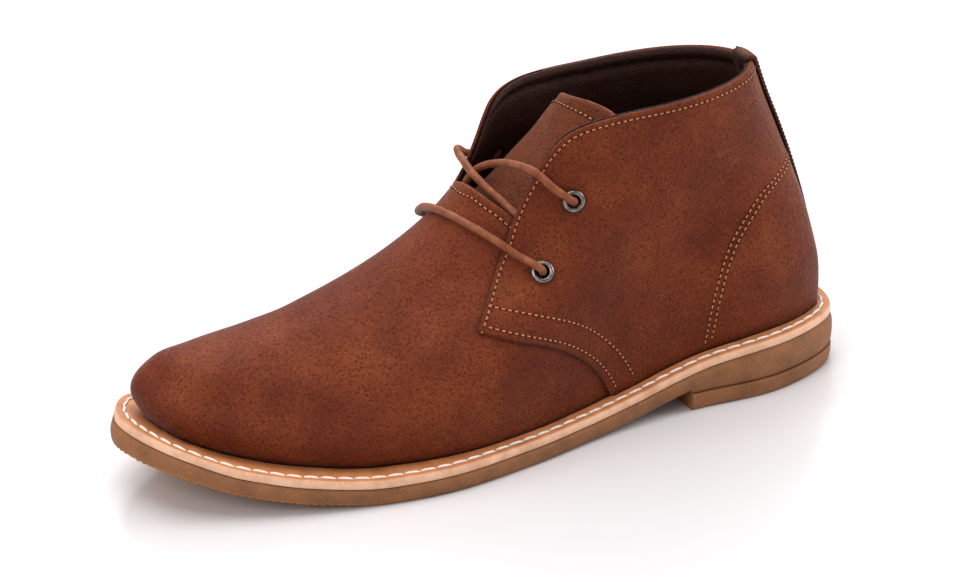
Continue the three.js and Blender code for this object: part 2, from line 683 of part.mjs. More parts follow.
function meshOf(name, solid, material) {
  const made = solid.simplify(0.08).getMesh();
  const geometry = new THREE.BufferGeometry();
  geometry.setAttribute("position", new THREE.BufferAttribute(new Float32Array(made.vertProperties), 3));
  geometry.setIndex(new THREE.BufferAttribute(made.triVerts, 1));
  const flat = geometry.toNonIndexed();
  flat.computeVertexNormals();
  const mesh = new THREE.Mesh(flat, material);
  mesh.name = name;
  boot.add(mesh);
}
const finish = (color, roughness, metalness = 0) =>
  new THREE.MeshStandardMaterial({ color, roughness, metalness });
meshOf("outsole", outsole, finish(0x6b4a26, 0.7));
meshOf("heel_lift", heelLift, finish(0x6b4a26, 0.75));
meshOf("welt", welt, finish(0xb9743c, 0.55));
meshOf("insole", insole, finish(0x4a2c1c, 0.8));
meshOf("upper", upper, finish(0x7d3f27, 0.5));
meshOf("tongue", tongue, finish(0x7d3f27, 0.5));
meshOf("back_strip", backStrip, finish(0x3a1f18, 0.5));
eyelets.forEach((e) => meshOf(e.name, eyeletSolid(e), finish(0x6e625c, 0.35, 1)));
meshOf("lace_bar", bar, finish(0x9a5430, 0.6));
meshOf("lace_crossing", upperStrand.add(lowerStrand), finish(0x9a5430, 0.6));

const bounds = new THREE.Box3().setFromObject(boot);
const centre = bounds.getCenter(new THREE.Vector3());
boot.position.set(-centre.x, -centre.y, -bounds.min.z);

export default boot;
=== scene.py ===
import math

import bpy
import numpy as np
from mathutils import Matrix, Vector
from mathutils.bvhtree import BVHTree


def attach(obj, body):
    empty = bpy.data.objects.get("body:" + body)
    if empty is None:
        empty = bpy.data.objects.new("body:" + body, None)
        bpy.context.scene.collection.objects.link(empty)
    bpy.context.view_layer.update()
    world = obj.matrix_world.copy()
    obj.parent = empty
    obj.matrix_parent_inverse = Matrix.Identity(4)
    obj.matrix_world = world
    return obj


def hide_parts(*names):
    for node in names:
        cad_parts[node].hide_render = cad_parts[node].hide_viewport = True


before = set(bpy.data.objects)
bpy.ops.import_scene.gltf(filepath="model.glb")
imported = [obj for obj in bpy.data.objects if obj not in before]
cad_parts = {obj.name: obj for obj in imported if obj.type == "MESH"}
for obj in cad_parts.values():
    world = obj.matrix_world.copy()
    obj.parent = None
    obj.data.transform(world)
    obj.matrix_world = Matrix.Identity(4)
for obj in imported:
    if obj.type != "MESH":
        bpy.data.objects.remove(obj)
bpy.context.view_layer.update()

# Outsole
# One moulded unit of olive brown rubber with an amber tread, cemented under the welt and trimmed
# flush with it. Behind the breast its seat reaches down to the heel lift.
SOLE_LENGTH = 0.300
HEEL_WIDTH = 0.071
WAIST_WIDTH = 0.071
BALL_WIDTH = 0.104
OUTSOLE_THICKNESS = 0.007
TOE_THICKENING = 0.0012
WELT_THICKNESS = 0.0037
HEEL_RISE = 0.0134
TOE_SPRING = 0.020
TOE_LEAN = 0.3
LEAN_DEPTH = 0.008
LIFT_HEIGHT = 0.008
HEEL_LENGTH = 0.0755
GAP = 0.0003
HEEL_BACK = (-0.0021465, 0.1498336)  # back of the heel, seen from above, in the row's frame
BREAST_SLANT = 0.0002
SOLE_COLUMNS = 240

# along, width that the row follows, share of it on the outer side, share on the inner side
OUTLINE = [
    (0.012, HEEL_WIDTH, 0.235, 0.24),
    (0.045, HEEL_WIDTH, 0.37, 0.37),
    (0.13, HEEL_WIDTH, 0.505, 0.485),
    (0.25, HEEL_WIDTH, 0.5, 0.46),
    (0.38, WAIST_WIDTH, 0.56, 0.44),
    (0.5, BALL_WIDTH, 0.468, 0.345),
    (0.62, BALL_WIDTH, 0.525, 0.43),
    (0.72, BALL_WIDTH, 0.495, 0.48),
    (0.82, BALL_WIDTH, 0.418, 0.472),
    (0.91, BALL_WIDTH, 0.303, 0.41),
    (0.97, BALL_WIDTH, 0.163, 0.32),
]
TOE_TIP = (-0.13 * BALL_WIDTH, SOLE_LENGTH)
SOLE_LINE = {
    "along": (0, 0.13, 0.2, 0.27, 0.34, 0.41, 0.5, 0.7, 0.8, 0.88, 1),
    "heel": (1, 0.99, 0.86, 0.57, 0.24, 0.05, 0, 0, 0, 0, 0),
    "toe": (0, 0, 0, 0, 0, 0, 0, 0, 0.17, 0.44, 1),
}
OUTLINE_POINTS = np.array(
    [(0.0, 0.0)]
    + [(outer * width, along * SOLE_LENGTH) for along, width, outer, inner in OUTLINE]
    + [TOE_TIP]
    + [(-inner * width, along * SOLE_LENGTH) for along, width, outer, inner in reversed(OUTLINE)]
)
SPANS = len(OUTLINE_POINTS)
TOE = SPANS // 2


def smooth(xs, ys, x):
    """A smooth value through a table's points, which never swings past them."""
    xs = np.asarray(xs, float)
    ys = np.asarray(ys, float)
    x = np.clip(x, xs[0], xs[-1])
    slope = np.diff(ys) / np.diff(xs)
    total = slope[:-1] + slope[1:]
    product = slope[:-1] * slope[1:]
    tangent = np.zeros(len(xs))
    tangent[1:-1] = np.where(product > 0, 2 * product / np.where(total == 0, 1, total), 0)
    i = np.clip(np.searchsorted(xs, x, side="left") - 1, 0, len(xs) - 2)
    width = xs[i + 1] - xs[i]
    t = (x - xs[i]) / width
    m0 = tangent[i] * width
    m1 = tangent[i + 1] * width
    p0 = ys[i]
    p1 = ys[i + 1]
    return (2 * p0 - 2 * p1 + m0 + m1) * t**3 + (3 * p1 - 3 * p0 - 2 * m0 - m1) * t * t + m0 * t + p0


def ease(a, b, x):
    t = np.clip((x - a) / (b - a), 0, 1)
    return t * t * (3 - 2 * t)


def lerp(a, b, t):
    return a + (b - a) * t


def outline_at(u, inset=0.0):
    """Sideways and along places on the sole's outline: u is 0 at the heel's back, 12 at the toe."""
    u = np.mod(u, SPANS)
    i = np.floor(u).astype(int)
    t = (u - i)[..., None]
    p0, p1, p2, p3 = (OUTLINE_POINTS[(i + k) % SPANS] for k in (-1, 0, 1, 2))
    d0, d1, d2 = (
        np.sqrt(np.linalg.norm(b - a, axis=-1, keepdims=True)) for a, b in ((p0, p1), (p1, p2), (p2, p3))
    )
    t1 = ((p1 - p0) / d0 - (p2 - p0) / (d0 + d1) + (p2 - p1) / d1) * d1
    t2 = ((p2 - p1) / d1 - (p3 - p1) / (d1 + d2) + (p3 - p2) / d2) * d1
    c2 = -3 * p1 + 3 * p2 - 2 * t1 - t2
    c3 = 2 * p1 - 2 * p2 + t1 + t2
    place = p1 + t1 * t + c2 * t**2 + c3 * t**3
    way = t1 + 2 * c2 * t + 3 * c3 * t**2
    way = way / np.linalg.norm(way, axis=-1, keepdims=True)
    return place[..., 0] - way[..., 1] * inset, place[..., 1] + way[..., 0] * inset


def sole_top(along):
    """Height of the welt's top above the floor."""
    share = np.clip(along / SOLE_LENGTH, 0, 1)
    heel = smooth(SOLE_LINE["along"], SOLE_LINE["heel"], share)
    toe = smooth(SOLE_LINE["along"], SOLE_LINE["toe"], share)
    return OUTSOLE_THICKNESS + GAP + WELT_THICKNESS + HEEL_RISE * heel + TOE_SPRING * toe


def leaned(along, depth):
    """A place at a depth under the welt's top: at the raised toe the sole's side leans back."""
    moved = along + TOE_LEAN * ease(0.72, 1, along / SOLE_LENGTH) * (depth - LEAN_DEPTH)
    return moved, sole_top(moved) - depth


def in_row(x, along, z):
    """Points of the last in the row's frame, where the toe points to -Y."""
    x, along, z = np.broadcast_arrays(x, along, z)
    return np.stack([x + HEEL_BACK[0], HEEL_BACK[1] - along, z], axis=-1)


def ring_body(rings):
    """A closed body from rings that each start at the heel's back, lidded from side to side."""
    n = len(rings[0])
    m = len(rings)
    faces = []
    for r in range(m - 1):
        for i in range(n):
            j = (i + 1) % n
            faces.append((r * n + i, r * n + j, (r + 1) * n + j, (r + 1) * n + i))
    for base, flip in ((0, True), ((m - 1) * n, False)):
        for i in range((n + 1) // 2 if n % 2 == 0 else n // 2):
            corners = [i, i + 1, n - i - 1, (n - i) % n]
            lid = [base + c for k, c in enumerate(corners) if c not in corners[:k]]
            if len(lid) > 2:
                faces.append(tuple(reversed(lid)) if flip else tuple(lid))
    return np.concatenate(rings), faces


def new_piece(name, points, faces, finish, stands_for=(), marks=None, crisp=50):
    """A mesh on the boot's one body. marks are values for each point that its finish reads."""
    mesh = bpy.data.meshes.new(name)
    mesh.from_pydata(points.tolist(), [], faces)
    mesh.validate()
    corners = np.array([v.co for v in mesh.vertices], float)
    mesh.calc_loop_triangles()
    triangles = corners[np.array([t.vertices for t in mesh.loop_triangles])]
    volume = np.einsum("ij,ij->i", triangles[:, 0], np.cross(triangles[:, 1], triangles[:, 2])).sum()
    for key, values in (marks or {}).items():
        mark = mesh.attributes.new(key, "FLOAT", "POINT")
        mark.data.foreach_set("value", np.asarray(values, np.float32).ravel())
    if volume < 0:
        mesh.flip_normals()
    mesh.shade_smooth()
    mesh.set_sharp_from_angle(angle=math.radians(crisp))
    mesh.materials.append(finish)
    made = bpy.data.objects.new(name, mesh)
    bpy.context.scene.collection.objects.link(made)
    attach(made, "root")
    if stands_for:
        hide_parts(*stands_for)
    return made


def new_finish(name, **constants):
    """A material, its shader, and functions that add a node and a colour ramp to it."""
    finish = bpy.data.materials.new(name)
    finish.use_nodes = True
    tree = finish.node_tree
    shader = tree.nodes["Principled BSDF"]
    for key, value in constants.items():
        shader.inputs[key.replace("_", " ")].default_value = value

    def node(kind, inputs=None, **settings):
        made = tree.nodes.new("ShaderNode" + kind)
        for key, value in settings.items():
            setattr(made, key, value)
        for key, value in (inputs or {}).items():
            if isinstance(value, bpy.types.NodeSocket):
                tree.links.new(value, made.inputs[key])
            else:
                made.inputs[key].default_value = value
        return made

    def ramp(value, stops):
        made = node("ValToRGB", {"Fac": value})
        elements = made.color_ramp.elements
        while len(elements) < len(stops):
            elements.new(0.5)
        for element, (place, colour) in zip(elements, stops):
            element.position = place
            level = colour if isinstance(colour, tuple) else (colour, colour, colour)
            element.color = (*level, 1)
        return made.outputs["Color"]

    def mixed(share, a, b, blend="MIX"):
        return node("MixRGB", {"Fac": share, "Color1": a, "Color2": b}, blend_type=blend).outputs[0]

    def sums(operation, a, b):
        return node("Math", {0: a, 1: b}, operation=operation).outputs[0]

    def wire(value, socket):
        tree.links.new(value, shader.inputs[socket])

    return finish, node, ramp, mixed, sums, wire


def rubber_finish(name, body, edge):
    """Dense rubber with fine light specks, a faint cloud and an edge of another colour."""
    finish, node, ramp, mixed, sums, wire = new_finish(name, Roughness=0.62, Specular_IOR_Level=0.35)
    place = node("TexCoord").outputs["Object"]
    cloud = node("TexNoise", {"Vector": place, "Scale": 90.0, "Detail": 4.0}).outputs[0]
    dust = node("TexNoise", {"Vector": place, "Scale": 2600.0, "Detail": 2.0}).outputs[0]
    specks = node("TexVoronoi", {"Vector": place, "Scale": 700.0}).outputs["Distance"]
    dark = tuple(0.74 * c for c in body)
    light = tuple(min(1, 1.22 * c) for c in body)
    colour = ramp(cloud, [(0.3, dark), (0.5, body), (0.72, light)])
    colour = mixed(ramp(dust, [(0.52, 0.0), (0.75, 0.42)]), colour, (*dark, 1))
    colour = mixed(ramp(specks, [(0.05, 0.75), (0.14, 0.0)]), colour, (0.62, 0.49, 0.3, 1))
    amber = node("Attribute", attribute_name="tread").outputs["Fac"]
    amber = sums("MULTIPLY", amber, ramp(cloud, [(0.3, 0.55), (0.6, 1.0)]))
    colour = mixed(amber, colour, (*edge, 1))
    wire(colour, "Base Color")
    relief = sums("MULTIPLY", dust, 0.5)
    relief = sums("ADD", relief, sums("MULTIPLY", cloud, 0.6))
    bump = node("Bump", {"Height": relief, "Strength": 0.35, "Distance": 0.0003}).outputs[0]
    wire(bump, "Normal")
    return finish


def breast_places():
    """u of the breast's corners on the outer and the inner side."""
    w = np.linspace(1, 8, 4001)
    outer = np.interp(HEEL_LENGTH, outline_at(w)[1], w)
    inner = np.interp(HEEL_LENGTH, outline_at(-w)[1], w)
    return outer, inner


BREAST_OUTER, BREAST_INNER = breast_places()
regular = np.linspace(0, TOE, SOLE_COLUMNS + 1)
regular = regular[np.abs(regular - (BREAST_OUTER + BREAST_INNER) / 2) > 0.06]
before = regular[regular < BREAST_OUTER]
after = regular[regular > BREAST_OUTER]
step = 0.007
sole_outer = np.concatenate([before, [BREAST_OUTER - step, BREAST_OUTER + step], after])
sole_inner = np.concatenate([before, [BREAST_INNER - step, BREAST_INNER + step], after])
sole_u = np.concatenate([sole_outer, SPANS - sole_inner[-2:0:-1]])
in_heel = np.concatenate([sole_outer < BREAST_OUTER, (sole_inner < BREAST_INNER)[-2:0:-1]])
OUTSOLE_SIDE = {"share": (0, 0.06, 0.16, 0.45, 0.85, 1), "inset": (1.7, 0.9, 0.4, -0.3, -0.2, 0.5)}
SEAT_SIDE = {"share": (0, 0.05, 0.12, 0.5, 0.8, 1), "inset": (0.5, 0.1, -0.1, -0.6, -0.5, 0.6)}
SERRATION_PITCH = 0.0030
SERRATION_DEPTH = 0.00035
rim_x, rim_along = outline_at(sole_u)
rim_steps = np.hypot(np.diff(rim_x, append=rim_x[0]), np.diff(rim_along, append=rim_along[0]))
rim_run = np.concatenate([[0], np.cumsum(rim_steps)[:-1]])
serration = np.cos(2 * np.pi * rim_run / SERRATION_PITCH) * ease(0.62, 0.78, rim_along / SOLE_LENGTH)
rings = []
treads = []
for share in (0, 0.03, 0.07, 0.12, 0.2, 0.32, 0.45, 0.6, 0.75, 0.88, 0.96, 1):
    body = smooth(OUTSOLE_SIDE["share"], OUTSOLE_SIDE["inset"], share)
    seat = smooth(SEAT_SIDE["share"], SEAT_SIDE["inset"], share)
    low = 1 - ease(0, 0.2, share)
    inset = np.where(in_heel, seat, body) / 1000 + SERRATION_DEPTH * serration * low
    x, along = outline_at(sole_u, inset)
    top = sole_top(along) - WELT_THICKNESS - GAP
    depth = OUTSOLE_THICKNESS + TOE_THICKENING * smooth(
        SOLE_LINE["along"], SOLE_LINE["toe"], along / SOLE_LENGTH
    )
    bottom = np.where(in_heel, LIFT_HEIGHT + GAP, top - depth)
    bottom = bottom + SERRATION_DEPTH * 0.6 * (1 + serration) * low * ease(0.68, 0.8, along / SOLE_LENGTH)
    moved, height = leaned(along, sole_top(along) - lerp(bottom, top, share))
    rings.append(in_row(x, moved, height))
    treads.append((1 - ease(0.1, 0.3, share)) * ease(0.66, 0.76, along / SOLE_LENGTH))
RUBBER_BROWN = (0.238, 0.094, 0.034)
RUBBER_AMBER = (0.37, 0.135, 0.026)
rubber = rubber_finish("olive rubber", RUBBER_BROWN, RUBBER_AMBER)
points, faces = ring_body(rings)
marks = {"tread": np.concatenate(treads)}
new_piece("outsole_unit", points, faces, rubber, ["outsole"], marks)

# Heel lift
# A block of the same rubber that meets the floor, cemented under the heel seat. A narrow neck at
# its top leaves the dark line that runs round the heel.
LIFT_SIDE = {"height": (0, 0.04, 0.12, 0.5, 0.93, 1), "inset": (2.0, 1.4, 1.0, 0.2, 0.0, 0.3)}
GROOVE_HEIGHT = 0.0006
GROOVE_DEPTH = 0.0014
LIFT_COLUMNS = 70
lift_body = LIFT_HEIGHT - GROOVE_HEIGHT
rings = []
levels = [(s * lift_body, smooth(LIFT_SIDE["height"], LIFT_SIDE["inset"], s) / 1000)
          for s in (0, 0.02, 0.05, 0.1, 0.2, 0.4, 0.6, 0.8, 0.92, 1)]
levels += [(lift_body + 0.00005, GROOVE_DEPTH), (LIFT_HEIGHT + GAP / 2, GROOVE_DEPTH)]
for height, inset in levels:
    outer = np.linspace(0, BREAST_OUTER, LIFT_COLUMNS)
    inner = np.linspace(0, BREAST_INNER, LIFT_COLUMNS)
    x, along = outline_at(np.concatenate([outer, SPANS - inner[:0:-1]]), inset)
    rings.append(in_row(x, np.minimum(along, HEEL_LENGTH), height))
points, faces = ring_body(rings)
marks = {"tread": np.zeros(len(points))}
new_piece("heel_block", points, faces, rubber, ["heel_lift"], marks)

# Welt
# A strip of natural leather stitched round the upper and cemented to the outsole. Its top is
# stained orange tan, its cut side is bare and peach coloured, and white lockstitch lies in a groove.
GROOVE_INSET = 0.0035
GROOVE_HALF = 0.0008
WELT_ROWS = [
    (0.0, 0.5), (0.1, 0.12), (0.2, 0.0), (0.5, -0.03), (0.8, 0.0), (0.93, 0.2), (1.0, 0.7),
]
rings = []
sides = []
for share, inset in WELT_ROWS:
    x, along = outline_at(sole_u, inset / 1000)
    moved, height = leaned(along, WELT_THICKNESS * (1 - share))
    rings.append(in_row(x, moved, height))
    sides.append(np.full(len(sole_u), 1 - ease(0.86, 1, share)))
for inset, sink in (
    (GROOVE_INSET - 2 * GROOVE_HALF, 0), (GROOVE_INSET - GROOVE_HALF, 0.08), (GROOVE_INSET, 0.5),
    (GROOVE_INSET + GROOVE_HALF, 0.08), (GROOVE_INSET + 2 * GROOVE_HALF, 0), (0.0075, 0),
    (0.009, 0.0), (0.0105, 0.15), (0.013, 0.4), (0.016, 0.4),
):
    x, along = outline_at(sole_u, inset)
    moved, height = leaned(along, sink / 1000)
    rings.append(in_row(x, moved, height))
    sides.append(np.zeros(len(sole_u)))
finish, node, ramp, mixed, sums, wire = new_finish(
    "tan welt leather", Roughness=0.5, Specular_IOR_Level=0.4, Coat_Weight=0.06
)
place = node("TexCoord").outputs["Object"]
cloud = node("TexNoise", {"Vector": place, "Scale": 120.0, "Detail": 5.0, "Roughness": 0.6}).outputs[0]
fibre = node("TexNoise", {"Vector": place, "Scale": 1500.0, "Detail": 3.0}).outputs[0]
top_colour = ramp(cloud, [(0.3, (0.37, 0.128, 0.043)), (0.55, (0.51, 0.190, 0.068)), (0.75, (0.61, 0.255, 0.105))])
side_colour = ramp(cloud, [(0.3, (0.62, 0.335, 0.2)), (0.55, (0.78, 0.465, 0.305)), (0.78, (0.86, 0.56, 0.40))])
side = node("Attribute", attribute_name="cut_side").outputs["Fac"]
colour = mixed(side, top_colour, side_colour)
colour = mixed(ramp(fibre, [(0.5, 0.0), (0.75, 0.25)]), colour, (0.36, 0.13, 0.05, 1))
wire(colour, "Base Color")
bump = node("Bump", {"Height": fibre, "Strength": 0.3, "Distance": 0.0002}).outputs[0]
wire(bump, "Normal")
points, faces = ring_body(rings)
marks = {"cut_side": np.concatenate(sides)}
new_piece("welt_strip", points, faces, finish, ["welt"], marks)

WELT_PITCH = 0.0065
WELT_STITCH = 0.0062


def unit(v):
    return v / np.maximum(np.linalg.norm(v, axis=-1, keepdims=True), 1e-12)


def run_of(points):
    """Distance along a line of points."""
    return np.concatenate([[0], np.cumsum(np.linalg.norm(np.diff(points, axis=0), axis=1))])


def evenly(points, count):
    """count points at even distances along a line of points, of any number of columns."""
    run = run_of(points[:, :3])
    at = np.linspace(0, run[-1], count)
    return np.stack([np.interp(at, run, points[:, k]) for k in range(points.shape[1])], axis=1)


def thread_row(name, line, normals, finish, pitch, length, width, rise, slant=0.0, sides=8):
    """Stitches along a line on a surface: each is a spindle of thread that dips in at both ends."""
    run = run_of(line)
    count = max(1, int(run[-1] // pitch))
    spare = run[-1] - count * pitch
    profile = [(-1, 0.28, -0.7), (-0.86, 0.72, -0.1), (-0.5, 0.98, 0.3), (0, 1, 0.42),
               (0.5, 0.98, 0.3), (0.86, 0.72, -0.1), (1, 0.28, -0.7)]
    at = spare / 2 + (np.arange(count) + 0.5) * pitch
    centre = np.stack([np.interp(at, run, line[:, k]) for k in range(3)], axis=1)
    normal = unit(np.stack([np.interp(at, run, normals[:, k]) for k in range(3)], axis=1))
    ahead = np.stack([np.interp(at + pitch / 2, run, line[:, k]) for k in range(3)], axis=1)
    behind = np.stack([np.interp(at - pitch / 2, run, line[:, k]) for k in range(3)], axis=1)
    way = unit(ahead - behind)
    aside = unit(np.cross(normal, way))
    tilted = unit(way * math.cos(slant) + aside * math.sin(slant))
    aside = unit(np.cross(normal, tilted))
    angles = 2 * np.pi * np.arange(sides) / sides
    points = []
    faces = []
    for k in range(count):
        base = len(points) * sides
        for share, thick, lift in profile:
            middle = centre[k] + tilted[k] * share * length / 2 + normal[k] * rise * lift
            ring = (
                middle
                + aside[k] * (np.cos(angles) * thick * width / 2)[:, None]
                + normal[k] * (np.sin(angles) * thick * width * 0.4)[:, None]
            )
            points.append(ring)
        for r in range(len(profile) - 1):
            for i in range(sides):
                j = (i + 1) % sides
                faces.append((base + r * sides + i, base + r * sides + j,
                              base + (r + 1) * sides + j, base + (r + 1) * sides + i))
        faces.append(tuple(base + i for i in reversed(range(sides))))
        faces.append(tuple(base + (len(profile) - 1) * sides + i for i in range(sides)))
    made = new_piece(name, np.concatenate(points), faces, finish, crisp=75)
    ends = np.concatenate([centre - tilted * length * 0.52, centre + tilted * length * 0.52])
    return made, ends, np.concatenate([normal, normal])


def thread_finish(name, colour, shade):
    finish, node, ramp, mixed, sums, wire = new_finish(name, Roughness=0.6, Specular_IOR_Level=0.3)
    place = node("TexCoord").outputs["Object"]
    twist = node("TexNoise", {"Vector": place, "Scale": 1800.0, "Detail": 2.0}).outputs[0]
    wire(ramp(twist, [(0.35, shade), (0.6, colour)]), "Base Color")
    bump = node("Bump", {"Height": twist, "Strength": 0.4, "Distance": 0.0002}).outputs[0]
    wire(bump, "Normal")
    return finish


white_thread = thread_finish("white waxed thread", (0.86, 0.82, 0.77), (0.60, 0.53, 0.47))
u = np.linspace(0, SPANS, 1441)
x, along = outline_at(u, GROOVE_INSET)
moved, height = leaned(along, 0.0002)
line = in_row(x, moved, height)
up = np.tile([0.0, 0.0, 1.0], (len(line), 1))
thread_row("welt_stitches", line, up, white_thread, WELT_PITCH, WELT_STITCH, 0.00125, 0.0004, slant=-0.10)

# Insole
# A thin board covered with dark leather, laid on the welt inside the upper.
# It shows only from above, through the collar.


# Lasted form
# The upper is pulled over a last, so every panel of it is a stretch of one smooth form. u goes
# round the foot as on the sole's outline, and v goes up from the welt to above the collar.
COLLAR_HEIGHT = 0.132
INSTEP_HEIGHT = 0.101
TOE_WALL = 0.025
ANKLE_WIDTH = 0.062
SIDE_MARGIN = 0.0086
TOE_MARGIN = 0.0112
HEEL_MARGIN = 0.0065
THROAT_SKEW = 0.11
QUARTER_LEATHER = 0.0013
UPPER_WALL = 0.0022
LEVELS = {
    "back": (0.02, 0.019, 0.02, 0.026, 0.034, 0.046, 0.06, 0.074, 0.087, 0.098, 0.108, 0.118),
    "back_height": (0.2, 0.26, 0.35, 0.45, 0.54, 0.63, 0.72, 0.8, 0.875, 0.95, 1.03, 1.12),
    "front": (0.958, 0.981, 0.942, 0.927, 0.835, 0.74, 0.648, 0.567, 0.515, 0.49, 0.475, 0.46),
    "front_height": (0.28, 0.37, 0.46, 0.55, 0.588, 0.635, 0.712, 0.83, 0.96, 1.12, 1.28, 1.45),
    "rise": (0, 0.42, 0.83, 1.13, 1.44, 1.7, 2, 2.4, 3, 3, 3, 3),
    "follow": (1, 1, 0.97, 0.8, 0.45, 0.2, 0.08, 0, 0, 0, 0, 0),
    "mid": (1, 1.08, 1.1, 1.07, 1.03, 0.98, 0.94, 0.9, 0.9, 0.9, 0.9, 0.9),
    "fore": (0.912, 1.045, 0.95, 0.83, 0.71, 0.59, 0.54, 0.54, 0.7, 0.7, 0.7, 0.7),
    "morph": (0, 0, 0, 0.03, 0.14, 0.36, 0.65, 0.9, 1, 1, 1, 1),
    "width": (1.1, 1.1, 1.1, 1.1, 1.1, 1.1, 1.08, 1.06, 1.02, 0.99, 0.98, 0.97),
    "sway": (0, 0, 0, -0.02, -0.05, -0.06, -0.06, -0.04, -0.03, -0.02, -0.02, -0.02),
    "blunt": (2.2, 2.2, 2.2, 2.2, 2.1, 2.05, 2, 2.15, 2.7, 3.4, 3.8, 4),
}
TOP_LEVEL = 11


def level_at(key, v):
    """A value of the levels' table at v, as a cubic B-spline through its rows."""
    rows = LEVELS[key]
    padded = np.array([2 * rows[0] - rows[1], *rows, 2 * rows[-1] - rows[-2]], float)
    i = np.clip(np.floor(v).astype(int), 0, TOP_LEVEL - 1)
    t = v - i
    weights = ((1 - t) ** 3, 3 * t**3 - 6 * t * t + 4, -3 * t**3 + 3 * t * t + 3 * t + 1, t**3)
    return sum(w / 6 * padded[i + k] for k, w in enumerate(weights))


def lasted_point(u, v):
    edge_along = outline_at(u)[1]
    share = np.clip(edge_along / SOLE_LENGTH, 0, 1)
    behind = lerp(HEEL_MARGIN, SIDE_MARGIN, ease(0, 0.15, share))
    welt_x = outline_at(u, lerp(behind, TOE_MARGIN, ease(0.8, 1, share)))[0]
    along = lerp(level_at("back", v), level_at("front", v), share) * SOLE_LENGTH
    free = lerp(level_at("back_height", v) * COLLAR_HEIGHT, level_at("front_height", v) * INSTEP_HEIGHT, share)
    height = lerp(free, sole_top(along) + GAP + level_at("rise", v) * TOE_WALL, level_at("follow", v))
    spread = lerp(level_at("mid", v), level_at("fore", v), ease(0.5, 0.88, share))
    side = np.where(np.mod(u, SPANS) < TOE, 1.0, -1.0)
    power = np.where(share < 0.5, 2.4, level_at("blunt", v))
    oval = np.sqrt(np.maximum(0, 1 - np.abs(2 * share - 1) ** power))
    ankle = ANKLE_WIDTH * (level_at("sway", v) + side * level_at("width", v) * oval / 2)
    x = lerp(welt_x * spread, ankle, level_at("morph", v))
    return np.stack([x, along, height], axis=-1)


def upper_point(u, v, offset=0.0):
    """A point of the last's form moved outwards by offset, as sideways, along and height."""
    u, v = np.broadcast_arrays(np.asarray(u, float), np.asarray(v, float))
    nudge = 0.02
    du = lasted_point(u + nudge, v) - lasted_point(u - nudge, v)
    dv = lasted_point(u, np.minimum(TOP_LEVEL, v + nudge)) - lasted_point(u, np.maximum(0, v - nudge))
    return lasted_point(u, v) + unit(np.cross(du, dv)) * np.asarray(offset)[..., None]


def form_point(u, v, offset=0.0):
    """The same point in the row's frame."""
    p = upper_point(u, v, offset)
    return in_row(p[..., 0], p[..., 1], p[..., 2])


def side_line(rows, steps=24):
    """A smooth line through side-view rows of (along, height), given as shares."""
    points = np.array([(a * SOLE_LENGTH, h * COLLAR_HEIGHT) for a, h in rows])
    padded = np.concatenate([points[:1], points, points[-1:]])
    line = []
    for i in range(len(points) - 1):
        p0, p1, p2, p3 = padded[i : i + 4]
        v0 = (p2 - p0) / 2
        v1 = (p3 - p1) / 2
        t = np.linspace(0, 1, steps, endpoint=i == len(points) - 2)[:, None]
        line.append((2 * p1 - 2 * p2 + v0 + v1) * t**3 + (-3 * p1 + 3 * p2 - 2 * v0 - v1) * t**2 + v0 * t + p1)
    return np.concatenate(line)


def round_the_foot(side, w):
    """u at w from the heel's back towards the toe, on the outer side (1) or the inner side (-1)."""
    return np.where(side > 0, w, SPANS - w)


def side_view(side, w, v, offset=QUARTER_LEATHER):
    p = upper_point(round_the_foot(side, w), v, offset)
    return p[..., 1] + THROAT_SKEW * p[..., 0], p[..., 2]


def spots_on(side, line, offset=QUARTER_LEATHER):
    """w and v of side-view points on one side, found by Newton's method."""
    w = np.full(len(line), 7.0)
    v = np.full(len(line), 5.0)
    h = 0.01
    for _ in range(60):
        s, z = side_view(side, w, v, offset)
        s_w, z_w = side_view(side, w + h, v, offset)
        s_v, z_v = side_view(side, w, v + h, offset)
        a, b, c, d = (s_w - s) / h, (s_v - s) / h, (z_w - z) / h, (z_v - z) / h
        det = a * d - b * c
        ms, mz = s - line[:, 0], z - line[:, 1]
        dw = np.clip((ms * d - mz * b) / det, -0.4, 0.4)
        dv = np.clip((mz * a - ms * c) / det, -0.4, 0.4)
        w = np.clip(w - dw, 0.3, 11.9)
        v = np.clip(v - dv, 0, TOP_LEVEL - 0.05)
    return w, v


def level_under(side, w, line, low, high, offset=QUARTER_LEATHER):
    """v on each w where the form's side view crosses a line that is single along the foot."""
    low = np.full(len(w), low, float)
    high = np.full(len(w), high, float)
    for _ in range(40):
        v = (low + high) / 2
        s, z = side_view(side, w, v, offset)
        above = z > np.interp(s, line[:, 0], line[:, 1])
        high = np.where(above, v, high)
        low = np.where(above, low, v)
    return (low + high) / 2


def coons(bottom, top, left, right, across, up):
    """A grid of (w, v) between four lines of (w, v), read at shares across and up."""
    def read(line, shares):
        run = np.linspace(0, 1, len(line))
        return np.stack([np.interp(shares, run, line[:, k]) for k in range(2)], axis=-1)

    a = np.asarray(across)[None, :, None]
    b = np.asarray(up)[:, None, None]
    low, high = read(bottom, across)[None], read(top, across)[None]
    near, far = read(left, up)[:, None], read(right, up)[:, None]
    corners = (1 - a) * (1 - b) * bottom[0] + a * (1 - b) * bottom[-1] + (1 - a) * b * top[0] + a * b * top[-1]
    return (1 - b) * low + b * high + (1 - a) * near + a * far - corners


def even_line(side, line, offset, count=400):
    """A line of (w, v) read again at even distances over the form."""
    w, v = line[:, 0], line[:, 1]
    run = run_of(form_point(round_the_foot(side, w), v, offset))
    at = np.linspace(0, run[-1], count)
    return np.stack([np.interp(at, run, w), np.interp(at, run, v)], axis=1)


